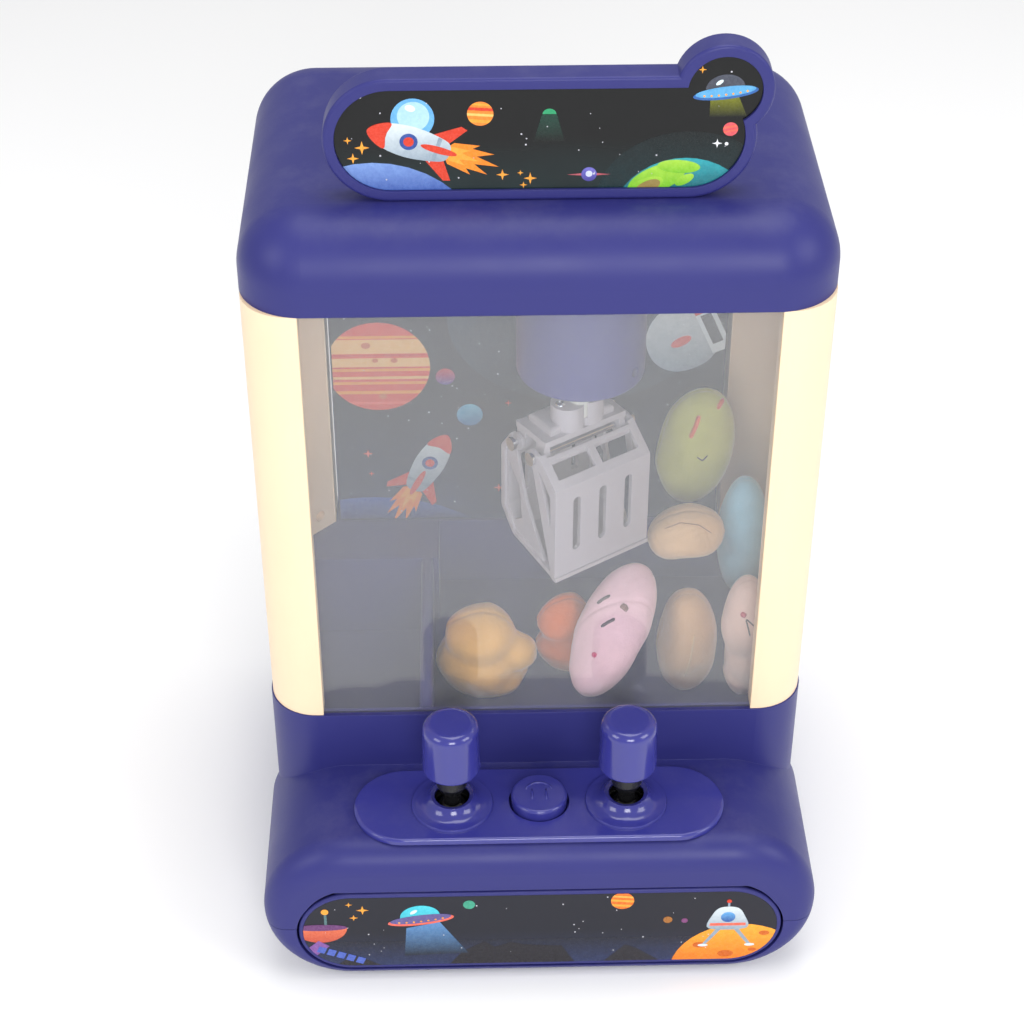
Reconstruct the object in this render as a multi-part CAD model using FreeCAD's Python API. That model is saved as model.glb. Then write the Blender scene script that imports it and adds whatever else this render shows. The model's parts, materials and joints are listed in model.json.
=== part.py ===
"""Tabletop claw crane toy: cabinet, joysticks, driven gantry, two-jaw claw and soft prizes (mm)."""

import FreeCAD, Part
import math
import os

from FreeCAD import Matrix, Vector

os.makedirs("parts", exist_ok=True)

X = Vector(1, 0, 0)
Y = Vector(0, 1, 0)
Z = Vector(0, 0, 1)

# overall size; the origin is on the table, in the middle of the plan
CABINET_HALF = 100.0
CABINET_FRONT = -45.0
BACK = 93.0
DECK_FRONT = -93.0
SHELL_BOTTOM = 1.5
PARTING = 28.5
DECK_TOP = 66.5
LEDGE = 91.7
HOOD_BOTTOM = 265.8
HOOD_TOP = 296.0
WALL = 2.2
RUN_FIT = 0.05

# plan corners and the pill-shaped front deck
PLAN_R = 18.0
DECK_HALF = 103.0
DECK_BACK = -28.0
DECK_R = (DECK_TOP - SHELL_BOTTOM) / 2
DECK_TOP_FILLET = 11.0
DECK_BOTTOM_FILLET = 6.0

# upright posts and window
POST_INNER = 79.6
POST_DEPTH = 8.5
INSET = 0.5
SIDE_INNER = 96.0
BACKDROP_Y = 75.0
WINDOW_Y = -43.4
WINDOW_T = 1.8

# play area
FLOOR_Z = 60.0
GUARD_X = -44.0
GUARD_T = 5.0
PIT_LEFT = -90.0
PIT_BACK = 50.0
OUTLET_RIGHT = -50.0
RAMP_BACK_Z = 54.0
RAMP_FRONT_Z = 6.5

# control plate on the deck
PLATE_Y = -69.0
PLATE_HALF = 68.6
PLATE_R = 18.7
PLATE_TOP = 68.9
STICK_X = 32.2
STICK_PIVOT = 66.0
COLLAR_R = 15.3
COLLAR_TOP = 73.9
COLLAR_HOLE = 6.5
KNOB_R = 10.7
KNOB_BOTTOM = 87.5
KNOB_TOP = 109.5
BUTTON_Y = -68.0
BUTTON_R = 10.4
BUTTON_TOP = 72.9

# prize flap in the front of the deck
FLAP_HALF = 90.2
FLAP_R = 19.9
FLAP_Z = 26.4
FLAP_FRONT = -92.8
FLAP_BACK = -91.3
FLAP_PIN_Y = -90.35
FLAP_PIN_Z = 44.9
FLAP_EAR_X = 58.0
FLAP_LUG_X = 62.5
PIN_R = 0.6
FLAP_GAP = 0.7
FLAP_RISE = 2.8

# rear door
DOOR_HALF = 79.2
DOOR_BOTTOM = 92.2
DOOR_TOP = 265.3
DOOR_SKIN = 88.8
DOOR_FACE = 90.3
DOOR_PIN_Y = 90.6
DOOR_PIN_X = 79.7
DOOR_PIN_R = 0.9
BARREL_R = 1.9
DOOR_KNUCKLES = (110.0, 236.0)
KNUCKLE_L = 14.0

# sign on the hood
SIGN_FRONT = -23.0
SIGN_BACK = -13.0
SIGN_HALF = 69.7
SIGN_R = 21.7
SIGN_DISC = (58.6, 334.0, 15.8)
SIGN_RIM = 3.8

# battery bay in the case floor
CELL_R = 7.1
CELL_HALF = 24.5
CELL_Z = 11.6
CELL_FIRST_Y = 11.3
CELL_PITCH = 15.0
BAY_X = 4.0
COVER_SCREW_Y = 50.5
COVER_SCREW_R = 1.0
COVER_SCREW_TOP = 11.0
COVER_SEAT_Z = 2.7

# gantry in the hood
HOME_X = 17.0
HOME_Y = 17.0
RAIL_Z = 280.0
RAIL_R = 2.0
RAIL_YS = (-28.0, 52.0)
CROSS_Z = 273.0
CROSS_R = 1.5
CROSS_DX = 8.5
MODULE = 1.0
TEETH = 10
PITCH_R = MODULE * TEETH / 2
TOOTH_PITCH = math.pi * MODULE
MESH_GAP = 0.05
SHAFT_R = 1.0
SWIVEL_R = 3.8
SWIVEL_END = 185.0
BOSS_TOP = 191.0
X_PINION_Y = 66.0
X_PINION_Z = 285.5
Y_PINION_DX = 13.0
Y_PINION_Z = 279.0
HOIST_DX = -8.2
HOIST_Z = 230.0
CYLINDER_R = 23.5
CYLINDER_BOTTOM = 205.0
CYLINDER_TOP = 264.0

# claw, in its own frame: u along the hinges, v forward of the rod
CLAW_YAW = 34.0
JAW_HALF = 22.0
JAW_T = 1.8
FRONT_HINGE = (1.0, 174.0)
REAR_HINGE = (-11.0, 174.0)
FACE_V = 15.5
REAR_V = -20.0
JAW_SHOULDER = 166.0
JAW_TIP = 125.0
CHEEK_REACH = 18.9
CHEEK_RELIEF = 5.0


def solid_box(x0, x1, y0, y1, z0, z1):
    """Box between two corners."""
    return Part.makeBox(x1 - x0, y1 - y0, z1 - z0, Vector(x0, y0, z0))


def rod(radius, start, end):
    """Round bar from one point to another."""
    a = Vector(*start)
    line = Vector(*end) - a
    return Part.makeCylinder(radius, line.Length, a, line)


def extrude(points, direction):
    """Prism on a closed outline of straight edges."""
    outline = [Vector(*p) for p in points]
    return Part.Face(Part.makePolygon(outline + outline[:1])).extrude(Vector(*direction))


def fillet_where(shape, radius, test):
    """Fillet the edges whose middle point passes a test."""
    edges = []
    for edge in shape.Edges:
        middle = edge.valueAt((edge.FirstParameter + edge.LastParameter) / 2)
        if test(middle):
            edges.append(edge)
    return shape.makeFillet(radius, edges)


def plan_block(half, front, back, z0, z1, corner):
    """Upright block with rounded vertical edges."""
    block = solid_box(-half, half, front, back, z0, z1)
    upright = [e for e in block.Edges if abs(e.tangentAt(e.FirstParameter).z) > 0.9]
    return block.makeFillet(corner, upright)


def pill_xz(half, radius, z_mid, y0, y1):
    """Stadium standing in the XZ plane, pushed back along Y."""
    straight = half - radius
    block = solid_box(-straight, straight, y0, y1, z_mid - radius, z_mid + radius)
    for side in (-1, 1):
        end = rod(radius, (side * straight, y0, z_mid), (side * straight, y1, z_mid))
        block = block.fuse(end)
    return block.removeSplitter()


def pill_xy(half, radius, y_mid, z0, z1):
    """Stadium lying in the XY plane."""
    straight = half - radius
    block = solid_box(-straight, straight, y_mid - radius, y_mid + radius, z0, z1)
    for side in (-1, 1):
        end = rod(radius, (side * straight, y_mid, z0), (side * straight, y_mid, z1))
        block = block.fuse(end)
    return block.removeSplitter()


def soften_deck(block, front, z_low, z_high, small, large):
    """Round the deck's front rim: large along the top, small along the bottom."""
    doc = FreeCAD.newDocument("deck")
    base = doc.addObject("Part::Feature", "block")
    base.Shape = block
    rounded = doc.addObject("Part::Fillet", "rounded")
    rounded.Base = base
    radii = []
    for number, edge in enumerate(block.Edges, 1):
        ends = [v.Point for v in edge.Vertexes]
        if any(abs(p.y - front) > 0.01 for p in ends):
            continue
        first = edge.valueAt(edge.FirstParameter)
        last = edge.valueAt(edge.LastParameter)
        at_first = large if first.z > (z_low + z_high) / 2 else small
        at_last = large if last.z > (z_low + z_high) / 2 else small
        if edge.Orientation == "Reversed":
            at_first, at_last = at_last, at_first
        radii.append((number, at_first, at_last))
    rounded.Edges = radii
    doc.recompute()
    shape = rounded.Shape.copy()
    FreeCAD.closeDocument("deck")
    return shape


def deck_block(inset):
    """The pill-shaped front deck, or its hollow when inset."""
    radius = DECK_R - inset
    z_mid = SHELL_BOTTOM + DECK_R
    front = DECK_FRONT + inset
    block = pill_xz(DECK_HALF - inset, radius, z_mid, front, DECK_BACK - inset)
    small = DECK_BOTTOM_FILLET - inset
    large = DECK_TOP_FILLET - inset
    return soften_deck(block, front, z_mid - radius, z_mid + radius, small, large)


def base_block(inset):
    """Deck and cabinet foot together, or their common hollow when inset."""
    top = LEDGE + (inset and 1)
    half = CABINET_HALF - inset
    foot = plan_block(half, CABINET_FRONT + inset, BACK - inset, SHELL_BOTTOM + inset, top,
                      PLAN_R - inset)
    return foot.fuse(deck_block(inset)).removeSplitter()


def flap_opening():
    """Hole that the prize flap closes, taller at the top to let its upper corners swing through."""
    front, back = DECK_FRONT - 1, DECK_FRONT + 5
    radius = FLAP_R + FLAP_GAP
    hole = pill_xz(FLAP_HALF + FLAP_GAP, radius, FLAP_Z, front, back)
    above = pill_xz(FLAP_HALF - FLAP_GAP, radius, FLAP_Z + FLAP_RISE - FLAP_GAP, front, back)
    above = above.common(solid_box(-120, 120, front, back, FLAP_PIN_Z - 8, FLAP_PIN_Z + FLAP_RISE))
    return hole.fuse(above)


def screw_places():
    """Plan positions of the four case screws."""
    return [(-94.9, 0.0), (88.0, -20.0), (-88.0, 80.0), (88.0, 80.0)]


def flap_lug(x):
    """Hook behind the front wall that holds one hinge pin from behind."""
    x0, x1 = x - 1.5, x + 1.5
    back = FLAP_PIN_Y + 6.3
    lug = solid_box(x0, x1, FLAP_PIN_Y, back, FLAP_PIN_Z - 3, FLAP_PIN_Z + 0.3)
    lug = lug.fuse(solid_box(x0, x1, FLAP_PIN_Y + 3.1, back, FLAP_PIN_Z - 3, FLAP_PIN_Z + 7))
    lug = lug.fuse(solid_box(x0, x1, DECK_FRONT + WALL - 0.5, back, FLAP_PIN_Z + 4.2, FLAP_PIN_Z + 7))
    return lug.cut(rod(PIN_R, (x - 5, FLAP_PIN_Y, FLAP_PIN_Z), (x + 5, FLAP_PIN_Y, FLAP_PIN_Z)))


def base_lower_shell(shell):
    """Lower case half: floor, screw bosses and the battery opening."""
    lower = shell.common(solid_box(-120, 120, -120, 120, 0, PARTING))
    inside = plan_block(CABINET_HALF - 1, CABINET_FRONT + 1, BACK - 1, 0, LEDGE, PLAN_R - 1)
    for x, y in screw_places():
        lower = lower.fuse(rod(3.0, (x, y, SHELL_BOTTOM + 1), (x, y, PARTING)))
        lower = lower.fuse(rod(4.2, (x, y, SHELL_BOTTOM + 1), (x, y, SHELL_BOTTOM + 7)).common(inside))
        lower = lower.cut(rod(1.5, (x, y, 0), (x, y, PARTING + 1)))
        lower = lower.cut(rod(2.8, (x, y, 0), (x, y, SHELL_BOTTOM + 5)))
    lower = lower.cut(solid_box(-24, 32, 2, 54, 0, SHELL_BOTTOM + WALL + 1))
    for k in range(7):
        slot = solid_box(60 + 4 * k, 62 + 4 * k, 30, 54, 0, SHELL_BOTTOM + WALL + 1)
        lower = lower.cut(slot)
    return lower.cut(flap_opening())


def base_upper_shell(shell):
    """Upper case half: deck, control opening, cabinet foot and window sill."""
    upper = shell.common(solid_box(-120, 120, -120, 120, PARTING + 0.25, LEDGE))
    sill = solid_box(-POST_INNER, POST_INNER, CABINET_FRONT, -40, LEDGE - 2.2, LEDGE)
    upper = upper.fuse(sill)
    for x, y in screw_places():
        boss = rod(3.0, (x, y, PARTING + 0.25), (x, y, 52))
        x0, x1 = sorted((x, math.copysign(98.5, x)))
        rib = solid_box(x0, x1, y - 1.2, y + 1.2, PARTING + 0.25, 50)
        boss = boss.fuse(rib.common(plan_block(98.5, CABINET_FRONT, BACK - 1, 0, 90, PLAN_R)))
        upper = upper.fuse(boss).cut(rod(1.25, (x, y, PARTING), (x, y, 46)))
    for side in (-1, 1):
        ledge = solid_box(-36, 97.5, 20 + side * 55 - 4, 20 + side * 55 + 4, 55, 57.8)
        upper = upper.fuse(ledge.common(plan_block(98.5, CABINET_FRONT + 1, BACK - 1, 0, 90, PLAN_R)))
    upper = upper.cut(pill_xy(62.5, 15.4, PLATE_Y, DECK_TOP - 5, DECK_TOP + 5))
    upper = upper.cut(flap_opening())
    for side in (-1, 1):
        upper = upper.fuse(flap_lug(side * FLAP_LUG_X))
    slot = solid_box(52, 68, BACK - 5, BACK + 1, 46, 52)
    return upper.cut(slot).removeSplitter()


def control_plate():
    """Raised stadium panel that carries the joysticks and the button."""
    plate = pill_xy(PLATE_HALF, PLATE_R, PLATE_Y, DECK_TOP, PLATE_TOP)
    plate = fillet_where(plate, 1.2, lambda p: abs(p.z - PLATE_TOP) < 0.01)
    for side in (-1, 1):
        plate = plate.cut(rod(14.2, (side * STICK_X, PLATE_Y, 60), (side * STICK_X, PLATE_Y, 80)))
    return plate.cut(rod(BUTTON_R + 0.8, (0, BUTTON_Y, 60), (0, BUTTON_Y, 80)))


def joystick_collar(x):
    """Cone-shaped surround with a hole that the stick comes out of."""
    profile = [
        Vector(COLLAR_R, 0, PLATE_TOP),
        Vector(COLLAR_R - 0.4, 0, PLATE_TOP + 0.9),
        Vector(COLLAR_HOLE + 1.5, 0, COLLAR_TOP),
        Vector(COLLAR_HOLE, 0, COLLAR_TOP - 0.5),
        Vector(COLLAR_HOLE, 0, COLLAR_TOP - 1.6),
        Vector(COLLAR_R - 1.4, 0, PLATE_TOP),
    ]
    dish = Part.BSplineCurve()
    bend = Vector(COLLAR_HOLE + 3.4, 0, PLATE_TOP + 2.4)
    dish.interpolate([profile[1], bend, profile[2]])
    edges = [Part.makeLine(profile[0], profile[1]), dish.toShape()]
    for a, b in zip(profile[2:], profile[3:] + profile[:1]):
        edges.append(Part.makeLine(a, b))
    ring = Part.Face(Part.Wire(edges)).revolve(Vector(0, 0, 0), Z, 360)
    ring.translate(Vector(x, PLATE_Y, 0))
    return Part.Solid(ring) if ring.ShapeType == "Shell" else ring


def joystick_base(x):
    """Cup under the plate: contacts below, two trunnion lugs above."""
    cup = rod(14.9, (x, PLATE_Y, 48), (x, PLATE_Y, DECK_TOP)).cut(
        rod(12.6, (x, PLATE_Y, 50), (x, PLATE_Y, DECK_TOP + 1)))
    for side in (-1, 1):
        x0, x1 = sorted((x + side * 12.3, x + side * 13.8))
        lug = solid_box(x0, x1, PLATE_Y - 3, PLATE_Y + 3, 58, 68.4)
        cup = cup.fuse(lug)
    hole = rod(1.0 + RUN_FIT, (x - 20, PLATE_Y, STICK_PIVOT), (x + 20, PLATE_Y, STICK_PIVOT))
    return cup.cut(hole)


def joystick_gimbal(x):
    """Ring with two outer pins along X and two inner pins along Y."""
    ring = rod(10.4, (x, PLATE_Y, STICK_PIVOT - 1.6), (x, PLATE_Y, STICK_PIVOT + 1.6)).cut(
        rod(7.6, (x, PLATE_Y, STICK_PIVOT - 2), (x, PLATE_Y, STICK_PIVOT + 2)))
    for side in (-1, 1):
        outer = rod(1.0, (x + side * 9.5, PLATE_Y, STICK_PIVOT), (x + side * 13.6, PLATE_Y, STICK_PIVOT))
        inner = rod(1.0, (x, PLATE_Y + side * 9, STICK_PIVOT), (x, PLATE_Y + side * 3.2, STICK_PIVOT))
        ring = ring.fuse(outer).fuse(inner)
    return ring.removeSplitter()


def joystick_stick(x):
    """Black stick: hub, neck, bulb and a peg up into the knob."""
    profile = [
        (0, 52), (2.2, 52), (2.2, 62.5), (5.0, 62.5), (5.0, 69.4), (3.2, 70.6), (3.2, 74.5),
        (4.6, 77), (5.8, 80), (5.6, 83.5), (4.2, 86), (4.2, KNOB_BOTTOM), (2.4, KNOB_BOTTOM),
        (2.4, 99), (0, 99),
    ]
    outline = [Vector(r, 0, z) for r, z in profile]
    stick = Part.Face(Part.makePolygon(outline + outline[:1])).revolve(Vector(0, 0, 0), Z, 360)
    stick.translate(Vector(x, PLATE_Y, 0))
    hole = rod(1.0 + RUN_FIT, (x, PLATE_Y - 6, STICK_PIVOT), (x, PLATE_Y + 6, STICK_PIVOT))
    return stick.cut(hole)


def joystick_knob(x):
    """Glossy cap, flat on top with a rounded edge, slightly wider at the bottom."""
    knob = Part.makeCone(KNOB_R, KNOB_R - 0.5, KNOB_TOP - KNOB_BOTTOM, Vector(x, PLATE_Y, KNOB_BOTTOM))
    knob = fillet_where(knob, 3.6, lambda p: abs(p.z - KNOB_TOP) < 0.01)
    knob = fillet_where(knob, 1.2, lambda p: abs(p.z - KNOB_BOTTOM) < 0.01)
    return knob.cut(rod(2.4, (x, PLATE_Y, 80), (x, PLATE_Y, 99)))


def push_button():
    """Round button with a flange that keeps it under the plate."""
    cap = rod(BUTTON_R, (0, BUTTON_Y, 62), (0, BUTTON_Y, BUTTON_TOP))
    cap = fillet_where(cap, 1.3, lambda p: abs(p.z - BUTTON_TOP) < 0.01)
    flange = rod(BUTTON_R + 2, (0, BUTTON_Y, 62.2), (0, BUTTON_Y, 64.2))
    return cap.fuse(flange).removeSplitter()


def control_board():
    """Small board under the button with its switch and two posts up to the plate."""
    board = solid_box(-16, 16, BUTTON_Y - 14, BUTTON_Y + 14, 53, 54.6)
    board = board.fuse(solid_box(-6, 6, BUTTON_Y - 6, BUTTON_Y + 6, 54.6, 58.4))
    for side in (-1, 1):
        y0, y1 = sorted((BUTTON_Y + side * 13.0, BUTTON_Y + side * 14.4))
        board = board.fuse(solid_box(-2, 2, y0, y1, 53, DECK_TOP))
    return board


def prize_flap():
    """Stadium flap with two hinge ears behind its top edge."""
    flap = pill_xz(FLAP_HALF, FLAP_R, FLAP_Z, FLAP_FRONT, FLAP_BACK)
    flap = fillet_where(flap, 0.9, lambda p: abs(p.y - FLAP_FRONT) < 0.01)
    recess = pill_xz(FLAP_HALF - 1.6, FLAP_R - 1.6, FLAP_Z, FLAP_FRONT - 1, FLAP_FRONT + 0.4)
    flap = flap.cut(recess)
    for side in (-1, 1):
        x0 = side * FLAP_EAR_X - 2
        barrel = rod(1.7, (x0, FLAP_PIN_Y, FLAP_PIN_Z), (x0 + 4, FLAP_PIN_Y, FLAP_PIN_Z))
        web = solid_box(x0, x0 + 4, FLAP_BACK - 0.4, FLAP_PIN_Y + 1.2, 36, FLAP_PIN_Z)
        flap = flap.fuse(barrel).fuse(web)
        hole = rod(PIN_R + RUN_FIT, (x0 - 1, FLAP_PIN_Y, FLAP_PIN_Z), (x0 + 5, FLAP_PIN_Y, FLAP_PIN_Z))
        flap = flap.cut(hole)
    return flap.removeSplitter()


def flap_label():
    """Printed panel let into the flap."""
    return pill_xz(FLAP_HALF - 1.7, FLAP_R - 1.7, FLAP_Z, FLAP_FRONT, FLAP_FRONT + 0.4)


def hinge_pins():
    """Two pins of the flap and two of the rear door."""
    pins = []
    for side in (-1, 1):
        x0, x1 = sorted((side * (FLAP_EAR_X - 2), side * 64))
        pins.append(rod(PIN_R, (x0, FLAP_PIN_Y, FLAP_PIN_Z), (x1, FLAP_PIN_Y, FLAP_PIN_Z)))
    for z in DOOR_KNUCKLES:
        pins.append(rod(DOOR_PIN_R, (DOOR_PIN_X, DOOR_PIN_Y, z - 4.3),
                        (DOOR_PIN_X, DOOR_PIN_Y, z + KNUCKLE_L + 4.3)))
    return Part.makeCompound(pins)


def play_floor():
    """Floor that the prizes lie on."""
    block = plan_block(CABINET_HALF - WALL - 0.2, CABINET_FRONT + WALL + 0.2, BACK - WALL - 0.2, 58,
                       FLOOR_Z, PLAN_R - WALL - 0.2)
    return block.common(solid_box(GUARD_X + GUARD_T, 110, -100, 100, 50, 70))


def ramp_z(y):
    """Height of the ramp's surface at a depth."""
    share = (y - DECK_FRONT) / (PIT_BACK - DECK_FRONT)
    return RAMP_FRONT_Z + (RAMP_BACK_Z - RAMP_FRONT_Z) * share


def ramp_slab(x0, x1, y0, y1, below, top=None):
    """Slab that follows the ramp; with a top height it is a wall standing on it."""
    z0, z1 = ramp_z(y0), ramp_z(y1)
    upper = (z0, z1) if top is None else (top, top)
    outline = [(x0, y0, z0 - below), (x0, y1, z1 - below), (x0, y1, upper[1]), (x0, y0, upper[0])]
    return extrude(outline, (x1 - x0, 0, 0))


def prize_ramp():
    """Sloping chute from the pit down to the flap, with its side walls."""
    step = CABINET_FRONT + WALL + 0.3
    ramp = ramp_slab(PIT_LEFT - 1.8, GUARD_X + 0.2, step, PIT_BACK - 0.2, 1.8)
    ramp = ramp.fuse(ramp_slab(-82.5, OUTLET_RIGHT + 1.6, -89.6, step, 1.8))
    ramp = ramp.fuse(ramp_slab(PIT_LEFT - 1.8, PIT_LEFT, step, PIT_BACK - 0.2, 1.8, LEDGE - 2.6))
    ramp = ramp.fuse(ramp_slab(GUARD_X - 1.4, GUARD_X + 0.2, step, PIT_BACK - 0.2, 1.8, 57.8))
    ramp = ramp.fuse(ramp_slab(OUTLET_RIGHT, OUTLET_RIGHT + 1.6, -89.6, step, 1.8, 47.6))
    ramp = ramp.fuse(solid_box(-97.4, PIT_LEFT, step, PIT_BACK - 0.2, LEDGE - 4.2, LEDGE - 2.6))
    return ramp.common(base_block(WALL + 0.3)).removeSplitter()


def chute_guard():
    """Low wall with a rounded top between the prizes and the chute."""
    wall = solid_box(GUARD_X, GUARD_X + GUARD_T - 0.2, -39.8, PIT_BACK - 0.2, 57.9, 92)
    return fillet_where(wall, 2.0, lambda p: abs(p.z - 92) < 0.01 and abs(p.x - GUARD_X - 2.4) > 2)


def rear_shelf():
    """Shelf behind the pit and along the back of the floor, with its front walls."""
    top_z = LEDGE - 0.2
    top = solid_box(-97.4, GUARD_X + 7, PIT_BACK, 90.5, top_z - 1.8, top_z)
    top = top.fuse(solid_box(-50, 97.4, BACKDROP_Y, 90.5, top_z - 1.8, top_z))
    top = top.fuse(solid_box(-97.4, GUARD_X + 4.8, PIT_BACK, PIT_BACK + 1.8, ramp_z(PIT_BACK), top_z))
    top = top.fuse(solid_box(-50, GUARD_X + 7, PIT_BACK, PIT_BACK + 1.8, FLOOR_Z, top_z))
    top = top.fuse(solid_box(GUARD_X + 5.2, GUARD_X + 7, PIT_BACK, BACKDROP_Y, FLOOR_Z, top_z))
    top = top.fuse(solid_box(GUARD_X + 5.2, 97.4, BACKDROP_Y, BACKDROP_Y + 1.8, FLOOR_Z, top_z))
    return top.common(plan_block(97.4, CABINET_FRONT + 3, 90.5, 0, 100, 15)).removeSplitter()


def side_wall(side):
    """Cream upright: front post, thin side, chamfered rear column."""
    half = CABINET_HALF - INSET
    block = plan_block(half, CABINET_FRONT + INSET, BACK - INSET, LEDGE, HOOD_BOTTOM, PLAN_R - INSET)
    block = block.common(solid_box(-120, -POST_INNER, -120, 120, 0, 300))
    hollow = [
        (-79, CABINET_FRONT + POST_DEPTH), (-90, CABINET_FRONT + POST_DEPTH), (-SIDE_INNER, -30),
        (-SIDE_INNER, 59), (-93, 62), (-80, BACKDROP_Y), (-79, BACKDROP_Y),
    ]
    block = block.cut(extrude([(x, y, 80) for x, y in hollow], (0, 0, 200)))
    groove = solid_box(-82.6, -79, WINDOW_Y - 0.1, WINDOW_Y + WINDOW_T + 0.1, 80, 280)
    block = block.cut(groove)
    boss = rod(2.4, (-84, 68, 99), (-88, 72, 99))
    block = block.cut(boss)
    if side > 0:
        block = block.mirror(Vector(0, 0, 0), X)
        block = hinge_side(block)
    return block


def hinge_side(block):
    """Give the right wall its door hinge: pockets for the knuckles, a lug at each end of a pin."""
    for z in DOOR_KNUCKLES:
        top = z + KNUCKLE_L
        block = block.cut(solid_box(79, 82.2, DOOR_PIN_Y - 2.3, BACK + 1, z - 0.3, top + 0.3))
        for z0, z1 in ((z - 4.3, z - 0.3), (top + 0.3, top + 4.3)):
            lug = rod(BARREL_R, (DOOR_PIN_X, DOOR_PIN_Y, z0), (DOOR_PIN_X, DOOR_PIN_Y, z1))
            lug = lug.fuse(solid_box(DOOR_PIN_X, 84, DOOR_PIN_Y - BARREL_R, DOOR_PIN_Y + BARREL_R, z0, z1))
            block = block.fuse(lug)
        block = block.cut(rod(DOOR_PIN_R, (DOOR_PIN_X, DOOR_PIN_Y, z - 4.3),
                              (DOOR_PIN_X, DOOR_PIN_Y, top + 4.3)))
    return block.removeSplitter()


def front_window():
    """Clear sheet in the grooves of the two posts."""
    return solid_box(-82.4, 82.4, WINDOW_Y, WINDOW_Y + WINDOW_T, LEDGE, HOOD_BOTTOM)


def rear_door():
    """Shallow tray hinged on the right; it carries the backdrop."""
    skin = solid_box(-DOOR_HALF, DOOR_HALF, DOOR_SKIN, DOOR_FACE, DOOR_BOTTOM, DOOR_TOP)
    rim_half = DOOR_HALF - 1.2
    rim = solid_box(-rim_half, rim_half, BACKDROP_Y + 1.2, DOOR_SKIN, DOOR_BOTTOM, DOOR_TOP)
    hollow = solid_box(-rim_half + 2, rim_half - 2, BACKDROP_Y, DOOR_SKIN, DOOR_BOTTOM + 2, DOOR_TOP - 2)
    door = skin.fuse(rim.cut(hollow))
    for z in DOOR_KNUCKLES:
        top = z + KNUCKLE_L
        door = door.cut(solid_box(77.5, 80, DOOR_SKIN - 0.1, DOOR_FACE + 0.1, z - 4.8, top + 4.8))
        door = door.fuse(rod(BARREL_R, (DOOR_PIN_X, DOOR_PIN_Y, z), (DOOR_PIN_X, DOOR_PIN_Y, top)))
        door = door.fuse(solid_box(76.5, DOOR_PIN_X, DOOR_SKIN, DOOR_FACE, z, top))
        door = door.cut(rod(DOOR_PIN_R + RUN_FIT, (DOOR_PIN_X, DOOR_PIN_Y, z - 1),
                            (DOOR_PIN_X, DOOR_PIN_Y, top + 1)))
    return door.cut(rod(9.0, (-66, DOOR_FACE + 1, 178), (-66, DOOR_SKIN + 0.9, 178))).removeSplitter()


def backdrop_card():
    """Printed card on the front of the door's rim."""
    half = DOOR_HALF - 1.2
    return solid_box(-half, half, BACKDROP_Y + 0.4, BACKDROP_Y + 1.2, DOOR_BOTTOM, DOOR_TOP)


def hood():
    """Rounded top cover with a rim for the window and a slot for the sign."""
    outer = plan_block(CABINET_HALF, CABINET_FRONT, BACK, HOOD_BOTTOM, HOOD_TOP, 22.5)
    outer = fillet_where(outer, 21.5, lambda p: abs(p.z - HOOD_TOP) < 0.01)
    inner = plan_block(CABINET_HALF - WALL, CABINET_FRONT + WALL, BACK - WALL, HOOD_BOTTOM - 1,
                       HOOD_TOP - WALL, 22.5 - WALL)
    inner = fillet_where(inner, 21.5 - WALL, lambda p: abs(p.z - HOOD_TOP + WALL) < 0.01)
    cover = outer.cut(inner)
    rim = plan_block(CABINET_HALF - 1, CABINET_FRONT + 1, BACK - 1, HOOD_BOTTOM, HOOD_BOTTOM + 1.6, 21.5)
    rim = rim.cut(solid_box(-91, 91, -40, BACKDROP_Y + 3, HOOD_BOTTOM - 1, HOOD_BOTTOM + 3))
    cover = cover.fuse(rim)
    return cover.cut(solid_box(-45, 45, SIGN_FRONT + 1, SIGN_BACK - 1, 290, 300)).removeSplitter()


def sign_outline(inset, y0, y1):
    """Stadium with a raised disc at its right end."""
    x_disc, z_disc, r_disc = SIGN_DISC
    body = pill_xz(SIGN_HALF - inset, SIGN_R - inset, HOOD_TOP + SIGN_R, y0, y1)
    disc = rod(r_disc - inset, (x_disc, y0, z_disc), (x_disc, y1, z_disc))
    return body.fuse(disc).removeSplitter()


def sign_housing():
    """Frame of the sign with a foot that plugs into the hood."""
    frame = sign_outline(0, SIGN_FRONT, SIGN_BACK - 2)
    frame = fillet_where(frame, 1.2, lambda p: abs(p.y - SIGN_FRONT) < 0.01)
    frame = frame.cut(sign_outline(SIGN_RIM, SIGN_FRONT - 1, SIGN_FRONT + 1.6))
    frame = frame.cut(sign_outline(2.4, SIGN_FRONT + 3.2, SIGN_BACK - 2))
    foot = solid_box(-44.8, 44.8, SIGN_FRONT + 1.2, SIGN_BACK - 2, 289, HOOD_TOP + 2.4)
    return frame.fuse(foot).removeSplitter()


def sign_back_cover():
    """Back half of the sign."""
    cover = sign_outline(0, SIGN_BACK - 2, SIGN_BACK)
    return fillet_where(cover, 1.2, lambda p: abs(p.y - SIGN_BACK) < 0.01)


def sign_face():
    """Printed panel let into the front of the sign."""
    return sign_outline(SIGN_RIM + 0.1, SIGN_FRONT + 1.0, SIGN_FRONT + 1.6)


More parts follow.
